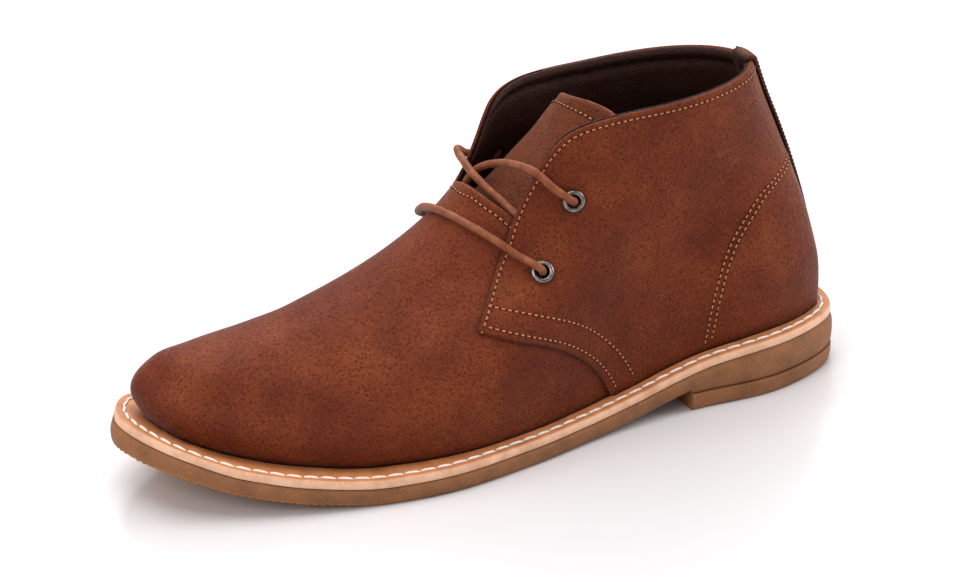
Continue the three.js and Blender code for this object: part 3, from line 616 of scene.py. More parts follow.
def close_steps(length, near, pitch, first=0.0003):
    """Shares from 0 to 1 over a length, close together for the distance near at both ends."""
    fine = [0.0]
    gap = first
    while fine[-1] < near:
        fine.append(fine[-1] + gap)
        gap = min(gap * 1.35, 0.0006)
    fine = np.array(fine)
    middle = np.linspace(fine[-1], length - fine[-1], max(3, int((length - 2 * fine[-1]) / pitch)))
    return np.concatenate([fine[:-1], middle, (length - fine[:-1])[::-1]]) / length


def shell(front, back, kept=None):
    """A closed sheet between two grids of points, with its edges and any hole closed."""
    rows, columns = front.shape[:2]
    index = np.arange(rows * columns).reshape(rows, columns)
    if kept is None:
        kept = np.ones((rows - 1, columns - 1), bool)
    other = rows * columns
    a, b, c, d = index[:-1, :-1], index[:-1, 1:], index[1:, 1:], index[1:, :-1]
    quads = np.stack([a, b, c, d], axis=-1)[kept]
    faces = [quads, quads[:, ::-1] + other]
    edge = np.zeros((rows + 1, columns + 1), bool)
    edge[1:-1, 1:-1] = kept
    across = edge[:-1, 1:-1] != edge[1:, 1:-1]
    for r, k in zip(*np.nonzero(across)):
        p, q = (index[r, k], index[r, k + 1]) if edge[r + 1, k + 1] else (index[r, k + 1], index[r, k])
        faces.append(np.array([[q, p, p + other, q + other]]))
    upward = edge[1:-1, :-1] != edge[1:-1, 1:]
    for r, k in zip(*np.nonzero(upward)):
        p, q = (index[r + 1, k], index[r, k]) if edge[r + 1, k + 1] else (index[r, k], index[r + 1, k])
        faces.append(np.array([[q, p, p + other, q + other]]))
    points = np.concatenate([front.reshape(-1, 3), back.reshape(-1, 3)])
    faces = np.concatenate(faces)
    used = np.zeros(len(points), bool)
    used[faces.ravel()] = True
    renumbered = np.cumsum(used) - 1
    return points[used], [tuple(f) for f in renumbered[faces].tolist()], used


def edge_runs(grid):
    """Distances of each point of a grid from its left, right, bottom and top edges."""
    across = np.linalg.norm(np.diff(grid, axis=1), axis=2)
    left = np.concatenate([np.zeros((len(grid), 1)), np.cumsum(across, axis=1)], axis=1)
    upward = np.linalg.norm(np.diff(grid, axis=0), axis=2)
    low = np.concatenate([np.zeros((1, grid.shape[1])), np.cumsum(upward, axis=0)], axis=0)
    return left, left[:, -1:] - left, low, low[-1:] - low


def rounded(distance, radius):
    """0 at an edge and 1 past its radius, as a quarter circle."""
    t = np.clip(distance / radius, 0, 1)
    return np.sqrt(1 - (1 - t) ** 2)


def nearness(points, line, width):
    """1 on a line of points, falling off over width."""
    best = np.full(points.shape[:-1], 1e9)
    for a, b in zip(line[:-1], line[1:]):
        d = b - a
        t = np.clip(((points - a) @ d) / max(d @ d, 1e-12), 0, 1)
        best = np.minimum(best, np.linalg.norm(points - a - t[..., None] * d, axis=-1))
    return np.exp(-((best / width) ** 2))


# Vamp and quarters
# Pebbled, waxed leather, mottled red brown with dark pores. The vamp is one piece over toe and
# instep. The quarters lie over its sides, folded at the collar, front and lower edges and stitched.
COLLAR_LINE = [
    (-0.1, 1), (0.1, 0.997), (0.25, 0.987), (0.34, 0.983), (0.387, 0.972),
    (0.417, 0.947), (0.439, 0.897), (0.458, 0.827), (0.489, 0.7),
]
FRONT_EDGE = [(0.489, 0.7), (0.507, 0.625), (0.5405, 0.525), (0.5745, 0.44)]
WING_EDGE = [(0.5745, 0.44), (0.517, 0.387), (0.463, 0.328), (0.42, 0.255), (0.392, 0.175), (0.37, 0.08)]
VAMP_TOP = [(0.484, 0.7), (0.4905, 0.724), (0.498, 0.739), (0.5025, 0.748), (0.520, 0.80)]
CORNER_HEIGHT = 0.925 * COLLAR_HEIGHT
PANEL_PITCH = 0.0013
UNDERLAP = 0.38
EYELETS = {"upper": (0.4147, 0.748), "lower": (0.4697, 0.564)}
EYELET_BARREL = 0.0031


def leather_finish(name, dark, mid, light, pore, pore_share=0.8, gloss=0.5, sheen=0.03):
    """Waxed leather: clouds of three browns, dark pores, a pebbled relief, edges lighter for wear and a painted
    highlight, and painted shade.
    """
    finish, node, ramp, mixed, sums, wire = new_finish(
        name, Specular_IOR_Level=0.10, Sheen_Weight=sheen, Sheen_Roughness=0.28,
        Sheen_Tint=(1.0, 0.70, 0.60, 1),
    )
    place = node("TexCoord").outputs["Object"]
    drift = node("TexNoise", {"Vector": place, "Scale": 420.0, "Detail": 2.0}).outputs["Color"]
    bent = node("VectorMath", {0: drift, 1: (0.0019, 0.0019, 0.0019)}, operation="MULTIPLY").outputs[0]
    bent = node("VectorMath", {0: place, 1: bent}, operation="ADD").outputs[0]
    wide = node("TexNoise", {"Vector": place, "Scale": 38.0, "Detail": 3.0, "Roughness": 0.55}).outputs[0]
    small = node("TexNoise", {"Vector": place, "Scale": 210.0, "Detail": 5.0, "Roughness": 0.65}).outputs[0]
    cloud = sums("ADD", sums("MULTIPLY", wide, 0.62), sums("MULTIPLY", small, 0.38))
    colour = ramp(cloud, [(0.37, dark), (0.5, mid), (0.66, light)])
    cells = node("TexVoronoi", {"Vector": bent, "Scale": 660.0, "Randomness": 0.95}).outputs["Distance"]
    pits = ramp(cells, [(0.18, 1.0), (0.52, 0.0)])
    patch = ramp(small, [(0.34, 0.45), (0.54, 1.0)])
    pits = sums("MULTIPLY", pits, patch)
    edges = node(
        "TexVoronoi", {"Vector": bent, "Scale": 820.0, "Randomness": 1.0}, feature="DISTANCE_TO_EDGE"
    ).outputs["Distance"]
    furrow = sums("MULTIPLY", ramp(edges, [(0.0, 1.0), (0.24, 0.0)]), patch)
    colour = mixed(sums("MULTIPLY", furrow, 0.46), colour, (*pore, 1))
    colour = mixed(sums("MULTIPLY", pits, pore_share), colour, (*pore, 1))
    wear_and_highlight = node("Attribute", attribute_name="wear_and_highlight").outputs["Fac"]
    shade = node("Attribute", attribute_name="shade").outputs["Fac"]
    # edges lighter where marked: partly wear, partly a painted highlight
    colour = mixed(wear_and_highlight, colour, (*(1.1 * c + 0.006 for c in light), 1))
    # darker where marked: painted shade at seams, stitch rows, edges and the welt line
    colour = mixed(shade, colour, (*(0.4 * c for c in pore), 1))
    wire(colour, "Base Color")
    rough = sums("ADD", sums("MULTIPLY", small, 0.25), gloss - 0.12)
    rough = sums("ADD", rough, sums("MULTIPLY", pits, 0.18))
    wire(rough, "Roughness")
    fine = node("TexNoise", {"Vector": bent, "Scale": 1700.0, "Detail": 3.0}).outputs[0]
    relief = sums("SUBTRACT", sums("MULTIPLY", fine, 0.3), sums("MULTIPLY", pits, 0.7))
    relief = sums("SUBTRACT", relief, sums("MULTIPLY", furrow, 0.6))
    bump = node("Bump", {"Height": relief, "Strength": 0.75, "Distance": 0.0003}).outputs[0]
    wire(bump, "Normal")
    return finish


upper_leather = leather_finish(
    "waxed brown leather", (0.118, 0.0205, 0.0066), (0.172, 0.0322, 0.0096), (0.232, 0.053, 0.0136),
    (0.050, 0.0088, 0.0042), pore_share=0.60, sheen=0.25,
)


# The needle holes' dark colour is painted shade.
def hole_shade_finish():
    finish, node, ramp, mixed, sums, wire = new_finish("needle hole shade", Roughness=0.95, Specular_IOR_Level=0.05)
    place = node("TexCoord").outputs["Object"]
    grain = node("TexNoise", {"Vector": place, "Scale": 2000.0}).outputs[0]
    wire(ramp(grain, [(0.4, (0.036, 0.0085, 0.004)), (0.6, (0.060, 0.014, 0.006))]), "Base Color")
    return finish


tan_thread = thread_finish("tan waxed thread", (0.52, 0.225, 0.105), (0.33, 0.125, 0.052))
hole_painted_shade = hole_shade_finish()
STITCH_PITCH = 0.0026
STITCH_LENGTH = 0.0019
STITCH_WIDTH = 0.00062


def needle_holes(name, places, normals, radius=0.00042):
    """Small dimples at the ends of stitches, dark with painted shade in the holes."""
    ring = 2 * np.pi * np.arange(8) / 8
    points = []
    faces = []
    for place, normal in zip(places, normals):
        first = unit(np.cross(normal, [0.0, 0.3, 1.0]))
        second = np.cross(normal, first)
        base = len(points)
        for size, lift in ((0.5, 0.00016), (1.0, 0.00003), (0.6, -0.0003)):
            for angle in ring:
                side = first * math.cos(angle) + second * math.sin(angle)
                points.append(place + side * radius * size + normal * lift)
        for r in range(2):
            for i in range(8):
                j = (i + 1) % 8
                faces.append((base + 8 * r + i, base + 8 * r + j, base + 8 * r + 8 + j, base + 8 * r + 8 + i))
        faces.append(tuple(base + i for i in reversed(range(8))))
        faces.append(tuple(base + 16 + i for i in range(8)))
    return new_piece(name, np.array(points), faces, hole_painted_shade)


def outline_of_quarter(side):
    """The quarter's edges as lines of (w, v): welt and wing, collar, heel line and front edge."""
    collar = side_line(COLLAR_LINE)
    corner = int(np.argmax(collar[:, 1] < CORNER_HEIGHT))
    top = collar[: corner + 1]
    front = np.concatenate([collar[corner:-1], side_line(FRONT_EDGE)])
    wing = side_line(WING_EDGE)
    front_w, front_v = spots_on(side, front)
    wing_w, wing_v = spots_on(side, wing)
    end = int(np.argmax(wing_v < 0.03)) if (wing_v < 0.03).any() else len(wing_v) - 1
    w = np.linspace(0, front_w[0], 160)
    top_v = level_under(side, w, top, 8, TOP_LEVEL - 0.1)
    top_v[-1] = front_v[0]
    top_line = np.stack([w, top_v], axis=1)
    low = np.stack([np.linspace(0, wing_w[end], 120), np.zeros(120)], axis=1)
    rising = np.stack([wing_w[:end][::-1], wing_v[:end][::-1]], axis=1)
    bottom_line = np.concatenate([low, rising])
    left_line = np.stack([np.zeros(120), np.linspace(0, top_v[0], 120)], axis=1)
    right_line = np.stack([front_w[::-1], front_v[::-1]], axis=1)
    return {
        "bottom": even_line(side, bottom_line, 0.0),
        "top": even_line(side, top_line, 0.0),
        "left": even_line(side, left_line, 0.0),
        "right": even_line(side, right_line, 0.0),
        "wing": np.concatenate([[low[-1]], rising]),
    }


def moved_on_form(side, line, direction, distance, offset):
    """Spots of (w, v) moved over the form by a distance along a direction in space."""
    w, v = line[:, 0].copy(), line[:, 1].copy()
    h = 0.01
    for _ in range(6):
        p = form_point(round_the_foot(side, w), v, offset)
        p_w = (form_point(round_the_foot(side, w + h), v, offset) - p) / h
        p_v = (form_point(round_the_foot(side, w), np.minimum(v + h, TOP_LEVEL), offset) - p) / h
        a = (p_w * p_w).sum(1)
        b = (p_w * p_v).sum(1)
        c = (p_v * p_v).sum(1)
        e = (p_w * direction).sum(1) * distance / 6
        f = (p_v * direction).sum(1) * distance / 6
        det = a * c - b * b
        w += (e * c - f * b) / det
        v = np.clip(v + (f * a - e * b) / det, 0, TOP_LEVEL)
    return np.stack([w, v], axis=1)


def inset_line(side, line, distance, offset=QUARTER_LEATHER, turn=1):
    """A line at a distance inside an edge's line, over the form."""
    w, v = line[:, 0], line[:, 1]
    p = form_point(round_the_foot(side, w), v, offset)
    q = form_point(round_the_foot(side, w), v, offset + 0.001)
    way = unit(np.gradient(p, axis=0))
    inward = unit(np.cross(q - p, way)) * turn * side
    return moved_on_form(side, line, inward, distance, offset)


def on_surface(side, line, offset):
    """Points and normals on the form along a line of (w, v)."""
    u = round_the_foot(side, line[:, 0])
    p = form_point(u, line[:, 1], offset)
    return p, unit(form_point(u, line[:, 1], offset + 0.001) - p)


def eyelet_places(side):
    """w and v of the two eyelets on one side."""
    rows = []
    for along, height in EYELETS.values():
        place = along * SOLE_LENGTH - side * THROAT_SKEW * ANKLE_WIDTH / 2
        target = place
        w, v = np.array([7.5]), np.array([7.0])
        h = 0.01
        for _ in range(40):
            p = upper_point(round_the_foot(side, w), v, QUARTER_LEATHER)
            p_w = upper_point(round_the_foot(side, w + h), v, QUARTER_LEATHER)
            p_v = upper_point(round_the_foot(side, w), v + h, QUARTER_LEATHER)
            a, b = (p_w - p)[:, 1] / h, (p_v - p)[:, 1] / h
            c, d = (p_w - p)[:, 2] / h, (p_v - p)[:, 2] / h
            ms, mz = p[:, 1] - target, p[:, 2] - height * COLLAR_HEIGHT
            det = a * d - b * c
            w = w - np.clip((ms * d - mz * b) / det, -0.4, 0.4)
            v = v - np.clip((mz * a - ms * c) / det, -0.4, 0.4)
        rows.append((w[0], v[0]))
    return np.array(rows)


COUNTER_ROWS = {
    "first": [
        (0.047, 0.690), (0.079, 0.668), (0.110, 0.645), (0.138, 0.617), (0.161, 0.573), (0.184, 0.517),
        (0.200, 0.456), (0.2137, 0.384), (0.2237, 0.313), (0.2285, 0.255), (0.2325, 0.185),
    ],
    "second": [
        (0.050, 0.671), (0.081, 0.649), (0.102, 0.635), (0.129, 0.608), (0.151, 0.568), (0.175, 0.514),
        (0.192, 0.453), (0.2055, 0.381), (0.2153, 0.309), (0.220, 0.2515), (0.2237, 0.195),
    ],
}


def counter_line(side, row):
    """One of the counter's two stitch lines, from the back strip down to the welt."""
    w, v = spots_on(side, side_line(COUNTER_ROWS[row]))
    return np.stack([w, v], axis=1)


row_ends = []
row_normals = []


def sew(name, side, line, offset, pitch=STITCH_PITCH, length=STITCH_LENGTH):
    """A row of tan stitches along a line of (w, v)."""
    p, n = on_surface(side, line, offset)
    made, ends, normals = thread_row(
        name, p, n, tan_thread, pitch, length, STITCH_WIDTH, 0.00022, sides=6
    )
    row_ends.append(ends)
    row_normals.append(normals)
    return p


QUARTER_TROUGHS = [
    ([(0.0296, 0.0768, 0.0665), (0.0298, 0.0772, 0.0612)], 0.0013, 0.00045),
    ([(0.0290, 0.1000, 0.0930), (0.0300, 0.0860, 0.0820), (0.0310, 0.0740, 0.0760)], 0.0085, 0.0005),
    ([(0.0300, 0.0700, 0.0600), (0.0330, 0.0860, 0.0480), (0.0360, 0.1000, 0.0420)], 0.0090, 0.0005),
    ([(0.0270, 0.0420, 0.0760), (0.0290, 0.0560, 0.0640)], 0.0080, 0.0004),
]
quarter_edges = {}
for side, label in ((1, "outer"), (-1, "inner")):
    edges = outline_of_quarter(side)
    quarter_edges[side] = edges
    lengths = {
        key: run_of(form_point(round_the_foot(side, edges[key][:, 0]), edges[key][:, 1]))[-1]
        for key in ("bottom", "top", "left", "right")
    }
    across = close_steps((lengths["bottom"] + lengths["top"]) / 2, 0.004, PANEL_PITCH)
    up = close_steps((lengths["left"] + lengths["right"]) / 2, 0.006, PANEL_PITCH)
    grid = coons(edges["bottom"], edges["top"], edges["left"], edges["right"], across, up)
    u = round_the_foot(side, grid[..., 0])
    v = np.clip(grid[..., 1], 0, TOP_LEVEL - 0.02)
    flat = form_point(u, v)
    left, right, low, high = edge_runs(flat)
    on_welt = edges["bottom"][:, 1] < 0.02
    last_on_welt = on_welt.nonzero()[0][-1] / (len(on_welt) - 1)
    wing_near = np.where(across[None, :] > last_on_welt, low, 1.0)
    free = np.minimum(np.minimum(right, high), wing_near)
    # rows of stitches that pull the leather in
    open_edge = np.concatenate([edges["top"], edges["right"][::-1][1:]])
    depth = lerp(0.0029, 0.0020, ease(0.15, 0.55, np.linspace(0, 1, len(open_edge))))
    open_row = inset_line(side, open_edge, depth)
    wing = edges["wing"]
    wing = even_line(side, wing, QUARTER_LEATHER, 200)
    wing_row = inset_line(side, wing, 0.0030, turn=-1)
    second_row = inset_line(side, wing, 0.0115, turn=-1)
    sewn = [
        sew(f"open_edge_stitches_{label}", side, open_row[6:-9], QUARTER_LEATHER),
        sew(f"wing_stitches_{label}", side, wing_row[4:-6], QUARTER_LEATHER),
        sew(f"wing_second_stitches_{label}", side, second_row[4:], QUARTER_LEATHER),
        sew(f"counter_stitches_{label}", side, counter_line(side, "first"), QUARTER_LEATHER),
        sew(f"counter_second_stitches_{label}", side, counter_line(side, "second"), QUARTER_LEATHER),
    ]
    tip = np.stack([np.linspace(open_row[-4], open_row[-1], 12)[:, k] for k in range(2)], axis=1)
    sew(f"bar_tack_{label}", side, tip, QUARTER_LEATHER, pitch=0.0005, length=0.0009)
    relief = np.zeros(flat.shape[:2])
    shade = np.zeros(flat.shape[:2])
    for row in sewn:
        near = nearness(flat, row[:: max(1, len(row) // 60)], 0.0011)
        relief -= 0.00028 * near
        shade += 0.22 * near
    for places, width, depth in QUARTER_TROUGHS:
        crease = np.array([in_row(side * place[0], *place[1:]) for place in places])
        relief -= depth * nearness(flat, crease, width)
    crown = rounded(free, 0.0011)
    eyelets = eyelet_places(side)
    eyelet_points = form_point(round_the_foot(side, eyelets[:, 0]), eyelets[:, 1])
    centres = (flat[:-1, :-1] + flat[1:, 1:]) / 2
    kept = np.ones(centres.shape[:2], bool)
    for place in eyelet_points:
        kept &= np.linalg.norm(centres - place, axis=-1) > EYELET_BARREL
        around = np.linalg.norm(flat - place, axis=-1)
        shade += 0.35 * np.exp(-(((around - 0.0045) / 0.0009) ** 2))
        relief -= 0.0003 * np.exp(-((around / 0.006) ** 2))
    front = form_point(u, v, QUARTER_LEATHER * crown + relief)
    over_vamp = ease(-0.50, -0.40, grid[..., 0] - np.interp(v, edges["wing"][:, 1], edges["wing"][:, 0]))
    back = form_point(u, v, lerp(-0.0013, 0.00005, over_vamp) * rounded(free, 0.0008))
    on_floor = low < 0.0002
    front[0, : int(last_on_welt * len(across))] -= np.array([0, 0, 0.0006])
    # free edges a little lighter, for wear and a painted highlight; painted shade at the free edges and along the
    # welt
    wear_and_highlight = 0.06 * np.exp(-(((free - 0.0006) / 0.0006) ** 2))
    shade += 0.30 * np.exp(-((free / 0.0008) ** 2))
    above_welt = np.where(across[None, :] > last_on_welt, 1.0, low)
    shade += 0.95 * np.exp(-((above_welt / 0.0009) ** 2)) + 0.45 * np.exp(-((above_welt / 0.0030) ** 2))
    points, faces, used = shell(front, back, kept)
    marks = {
        "wear_and_highlight": np.concatenate([wear_and_highlight.ravel(), wear_and_highlight.ravel()])[used],
        "shade": np.concatenate([np.clip(shade, 0, 0.9).ravel()] * 2)[used],
    }
    stands_for = ["upper"] if side > 0 else []
    new_piece(f"quarter_{label}", points, faces, upper_leather, stands_for, marks)

# The vamp, in one piece from one side to the other, with its edges under the quarters
vamp_sides = {}
for side in (1, -1):
    edges = quarter_edges[side]
    behind = np.concatenate([edges["wing"], edges["right"][1:]])
    order = np.argsort(behind[:, 1])
    limit = level_under(side, np.array([9.0]), side_line(VAMP_TOP), 4, 9)[0]
    levels = np.linspace(0, limit + 0.6, 60)
    spread = np.interp(levels, behind[order, 1], behind[order, 0])
    kernel = np.ones(7) / 7
    eased = np.convolve(np.pad(spread, 3, mode="edge"), kernel, mode="valid")
    vamp_sides[side] = (levels, np.minimum(spread, eased) - UNDERLAP)


def vamp_outline():
    """The vamp's edges as lines of (u, v): welt line, top edge, outer side and inner side."""
    top_rows = side_line([(0.455, 0.655), *VAMP_TOP])
    ends = []
    for side in (1, -1):
        levels, spread = vamp_sides[side]
        s, z = side_view(side, spread, levels, 0.0)
        miss = z - np.interp(s, top_rows[:, 0], top_rows[:, 1])
        k = int(np.argmax(miss > 0))
        v = np.interp(0, miss[k - 1 : k + 1], levels[k - 1 : k + 1])
        ends.append((float(np.interp(v, levels, spread)), float(v)))
    (w_outer, v_outer), (w_inner, v_inner) = ends
    outer_w = np.linspace(w_outer, TOE, 60)
    inner_w = np.linspace(TOE, w_inner, 60)
    outer_v = level_under(1, outer_w, top_rows, 4, 9, 0.0)
    inner_v = level_under(-1, inner_w, top_rows, 4, 9, 0.0)
    outer_v[0], inner_v[-1] = v_outer, v_inner
    top = np.concatenate([
        np.stack([outer_w, outer_v], axis=1),
        np.stack([SPANS - inner_w, inner_v], axis=1)[1:],
    ])
    sides = []
    for side, v_end in ((1, v_outer), (-1, v_inner)):
        levels, spread = vamp_sides[side]
        v = np.linspace(0, v_end, 80)
        sides.append(np.stack([round_the_foot(side, np.interp(v, levels, spread)), v], axis=1))
    bottom = np.stack([np.linspace(sides[0][0, 0], sides[1][0, 0], 400), np.zeros(400)], axis=1)
    return [even_line(1, line, 0.0) for line in (bottom, top, *sides)]


bottom, top, outer_side, inner_side = vamp_outline()


def evened(line, reach):
    """A line of (w, v) averaged over a reach of points to both sides, with its ends kept."""
    kernel = np.ones(2 * reach + 1) / (2 * reach + 1)
    padded = np.pad(line, ((reach, reach), (0, 0)), mode="reflect", reflect_type="odd")
    return np.stack([np.convolve(padded[:, k], kernel, mode="valid") for k in range(2)], axis=1)


top = evened(top, 20)
across = close_steps(0.36, 0.003, PANEL_PITCH * 1.05)
up = close_steps(0.12, 0.004, PANEL_PITCH)
grid = coons(bottom, top, outer_side, inner_side, across, up)
u, v = grid[..., 0], np.clip(grid[..., 1], 0, TOP_LEVEL - 0.02)
flat = form_point(u, v)
left, right, low, high = edge_runs(flat)
vamp_row = inset_line(1, top, 0.0032, offset=0.0)
vamp_row = vamp_row[np.abs(vamp_row - evened(vamp_row, 30)).max(axis=1) < 0.05]
vamp_row = even_line(1, evened(vamp_row, 8), 0.0)
row_place = upper_point(vamp_row[:, 0], vamp_row[:, 1])
shown = row_place[:, 1] + THROAT_SKEW * row_place[:, 0] > 0.484 * SOLE_LENGTH - 0.002
sewn = sew("vamp_stitches", 1, vamp_row[shown], 0.0)
near = nearness(flat, sewn[::10], 0.0011)
relief = -0.00028 * near
# soft troughs where the toe bends and where the leather was pulled over the last
VAMP_TROUGHS = [
    ([(0.020, 0.232, 0.050), (0.002, 0.228, 0.056), (-0.02, 0.226, 0.052)], 0.0075, 0.0007),
    ([(0.034, 0.205, 0.046), (0.018, 0.199, 0.060), (0.0, 0.197, 0.066)], 0.0090, 0.0005),
    ([(0.040, 0.262, 0.030), (0.018, 0.268, 0.040)], 0.0060, 0.0004),
    ([(0.044, 0.190, 0.034), (0.034, 0.184, 0.052), (0.020, 0.182, 0.068)], 0.0080, 0.00045),
]
for places, width, depth in VAMP_TROUGHS:
    line = np.array([in_row(*place) for place in places])
    relief -= depth * nearness(flat, line, width)
# the toe puff keeps the leather full over the toe: place, width and height
TOE_PUFF = [((-0.018, 0.280, 0.047), 0.0105, 0.0018), ((-0.019, 0.260, 0.052), 0.016, 0.0007)]
for place, width, height in TOE_PUFF:
    around = np.linalg.norm(flat - in_row(*place), axis=-1)
    relief += height * np.exp(-((around / width) ** 2))
free = np.minimum(high, np.minimum(left, right))
front = form_point(u, v, relief - 0.0012 * (1 - rounded(free, 0.0010)))
front[0] -= np.array([0, 0, 0.0006])
back = form_point(u, v, np.full(flat.shape[:2], -0.0013))
shade = 0.2 * near + 0.95 * np.exp(-((low / 0.0009) ** 2)) + 0.45 * np.exp(-((low / 0.0030) ** 2))
# painted shade where the quarters' edges lie over the vamp
for side in (1, -1):
    edges = quarter_edges[side]
    rim = np.concatenate([edges["wing"], edges["right"]])
    rim = form_point(round_the_foot(side, rim[:, 0]), rim[:, 1])
    shade += 0.55 * nearness(flat, rim[::12], 0.0013)
# the top edge a little lighter, for wear and a painted highlight
wear_and_highlight = 0.1 * np.exp(-(((high - 0.0006) / 0.0006) ** 2))
points, faces, used = shell(front, back)
marks = {
    "wear_and_highlight": np.concatenate([wear_and_highlight.ravel()] * 2)[used],
    "shade": np.concatenate([np.clip(shade, 0, 0.9).ravel()] * 2)[used],
}
new_piece("vamp", points, faces, upper_leather, (), marks)

# Lining
# Dark brown leather inside the quarters, turned out to the collar's edge and stitched through.
# A thin roll and a soft pad lie under its top edge.
LINING_DARK = (0.029, 0.0098, 0.0070)
lining_leather = leather_finish(
    "dark lining leather", (0.021, 0.0073, 0.0054), LINING_DARK, (0.041, 0.0142, 0.0100),
    (0.012, 0.0045, 0.0035), pore_share=0.25, gloss=0.44, sheen=0.05,
)
LINING_TROUGHS = [
    ([(0.006, 0.034, 0.124), (0.012, 0.040, 0.112), (0.016, 0.046, 0.104)], 0.0022, 0.0009),
    ([(-0.012, 0.036, 0.122), (-0.018, 0.046, 0.108)], 0.0025, 0.0009),
    ([(-0.026, 0.060, 0.118), (-0.028, 0.076, 0.110)], 0.0028, 0.0007),
    ([(-0.026, 0.112, 0.112), (-0.027, 0.120, 0.098)], 0.0030, 0.0008),
]
for side, label in ((1, "outer"), (-1, "inner")):
    edges = quarter_edges[side]
    across = close_steps(0.15, 0.003, 0.0018)
    up = close_steps(0.10, 0.008, 0.0018)
    grid = coons(edges["bottom"], edges["top"], edges["left"], edges["right"], across, up)
    grid[..., 1] = np.clip(grid[..., 1], 0.05, TOP_LEVEL - 0.02)
    u, v = round_the_foot(side, grid[..., 0]), grid[..., 1]
    flat = form_point(u, v)
    left, right, low, high = edge_runs(flat)
    free = np.minimum(high, right)
    roll = 0.0007 * np.exp(-(((high - 0.0022) / 0.0014) ** 2)) + 0.0012 * ease(0.004, 0.009, high) * (
        1 - ease(0.018, 0.03, high)
    )
    roll = roll * ease(0.0, 0.004, right)
    for places, width, depth in LINING_TROUGHS:
        line = np.array([in_row(*place) for place in places])
        roll -= depth * nearness(flat, line, width)
    kept = np.ones((flat.shape[0] - 1, flat.shape[1] - 1), bool)
    centres = (flat[:-1, :-1] + flat[1:, 1:]) / 2
    eyelets = eyelet_places(side)
    for place in form_point(round_the_foot(side, eyelets[:, 0]), eyelets[:, 1]):
        kept &= np.linalg.norm(centres - place, axis=-1) > EYELET_BARREL
    inner = form_point(u, v, -UPPER_WALL - roll * ease(0, 0.001, free) + 0.0006 * (1 - rounded(free, 0.0008)))
    outer = form_point(u, v, np.full(flat.shape[:2], -0.0012))
    shade = 0.8 * np.exp(-(((high - 0.0046) / 0.0008) ** 2))
    # the top edge lighter, for wear and a painted highlight
    wear_and_highlight = 0.25 * np.exp(-(((high - 0.0018) / 0.0012) ** 2))
    points, faces, used = shell(outer, inner, kept)
    marks = {
        "wear_and_highlight": np.concatenate([wear_and_highlight.ravel()] * 2)[used],
        "shade": np.concatenate([shade.ravel()] * 2)[used],
    }
    new_piece(f"lining_{label}", points, faces, lining_leather, (), marks)

across = close_steps(0.36, 0.003, 0.003)
up = close_steps(0.12, 0.003, 0.003)
grid = coons(bottom, top, outer_side, inner_side, across, up)
u, v = grid[..., 0], np.clip(grid[..., 1], 0.05, TOP_LEVEL - 0.02)
outer = form_point(u, v, np.full(u.shape, -0.00135))
inner = form_point(u, v, np.full(u.shape, -UPPER_WALL))
points, faces, used = shell(outer, inner)
marks = {"wear_and_highlight": np.zeros(len(points)), "shade": np.zeros(len(points))}
new_piece("vamp_lining", points, faces, lining_leather, (), marks)

# Insole board, laid on the welt inside the wall
INSOLE_THICKNESS = 0.003
u = np.linspace(0, SPANS, 240, endpoint=False)
rings = []
for inset, rise in ((0.001, 0.0), (0.0, 0.0006), (0.0, 0.0022), (0.0008, 0.003), (0.004, 0.0031)):
    edge = upper_point(u, np.full(len(u), 0.0), -UPPER_WALL - GAP - 0.0005 - inset)
    height = sole_top(np.maximum(0, edge[:, 1])) + GAP + rise
    rings.append(in_row(edge[:, 0], edge[:, 1], height))
points, faces = ring_body(rings)
insole_leather = leather_finish(
    "insole leather", (0.045, 0.022, 0.013), (0.07, 0.034, 0.019), (0.10, 0.05, 0.028),
    (0.03, 0.014, 0.009), pore_share=0.3, gloss=0.6, sheen=0.05,
)
marks = {"wear_and_highlight": np.zeros(len(points)), "shade": np.zeros(len(points))}
new_piece("insole_board", points, faces, insole_leather, ["insole"], marks)

# Tongue
# Two layers of soft leather, cut wider than the throat and stitched in under the vamp. Its top
# edge is folded and stitched, and its long edges lie against the wall inside.
TONGUE = {
    "along": (0.62, 0.573, 0.5315, 0.4995, 0.464, 0.427, 0.3905, 0.371, 0.362, 0.3587),
    "height": (0.558, 0.6135, 0.659, 0.693, 0.748, 0.8145, 0.8805, 0.932, 0.961, 0.9775),
    "half": (0.34, 0.4, 0.46, 0.5, 0.52, 0.52, 0.52, 0.5, 0.47, 0.45),
    "droop": (0.3, 0.37, 0.44, 0.5, 0.48, 0.45, 0.43, 0.43, 0.44, 0.45),
    "middle": (-0.03, -0.025, -0.02, -0.015, -0.012, -0.01, -0.007, -0.005, -0.002, 0),
}
TONGUE_WIDTH = 0.050
TONGUE_THICKNESS = 0.0024
TONGUE_ROW = 0.84
TONGUE_CORNER = 0.13


def tongue_point(q, t, depth):
    """A point of the tongue: q goes from -1 to 1 across it, t from 0 to 1 up it."""
    last = len(TONGUE["along"]) - 1
    rows = np.arange(last + 1)
    place = t * last * (1 - TONGUE_CORNER * np.clip((np.abs(q) - 0.5) / 0.5, 0, 1) ** 2)
    value = {key: smooth(rows, TONGUE[key], place) for key in TONGUE}
    high = np.minimum(place + 0.2, last)
    low = np.maximum(place - 0.2, 0)
    run = (smooth(rows, TONGUE["along"], high) - smooth(rows, TONGUE["along"], low)) * SOLE_LENGTH
    climb = (smooth(rows, TONGUE["height"], high) - smooth(rows, TONGUE["height"], low)) * COLLAR_HEIGHT
    length = np.hypot(run, climb)
    half = value["half"] * TONGUE_WIDTH
    sag = value["droop"] * half * q * q + depth
    x = value["middle"] * ANKLE_WIDTH + half * q
    along = value["along"] * SOLE_LENGTH - climb / length * sag - half * q * THROAT_SKEW
    lift = (0.0005 + 0.0035 * np.minimum(q, 0.4)) * ease(0.72, 1.0, t)
    height = value["height"] * COLLAR_HEIGHT + run / length * sag + lift
    return np.stack(np.broadcast_arrays(x, along, height), axis=-1)


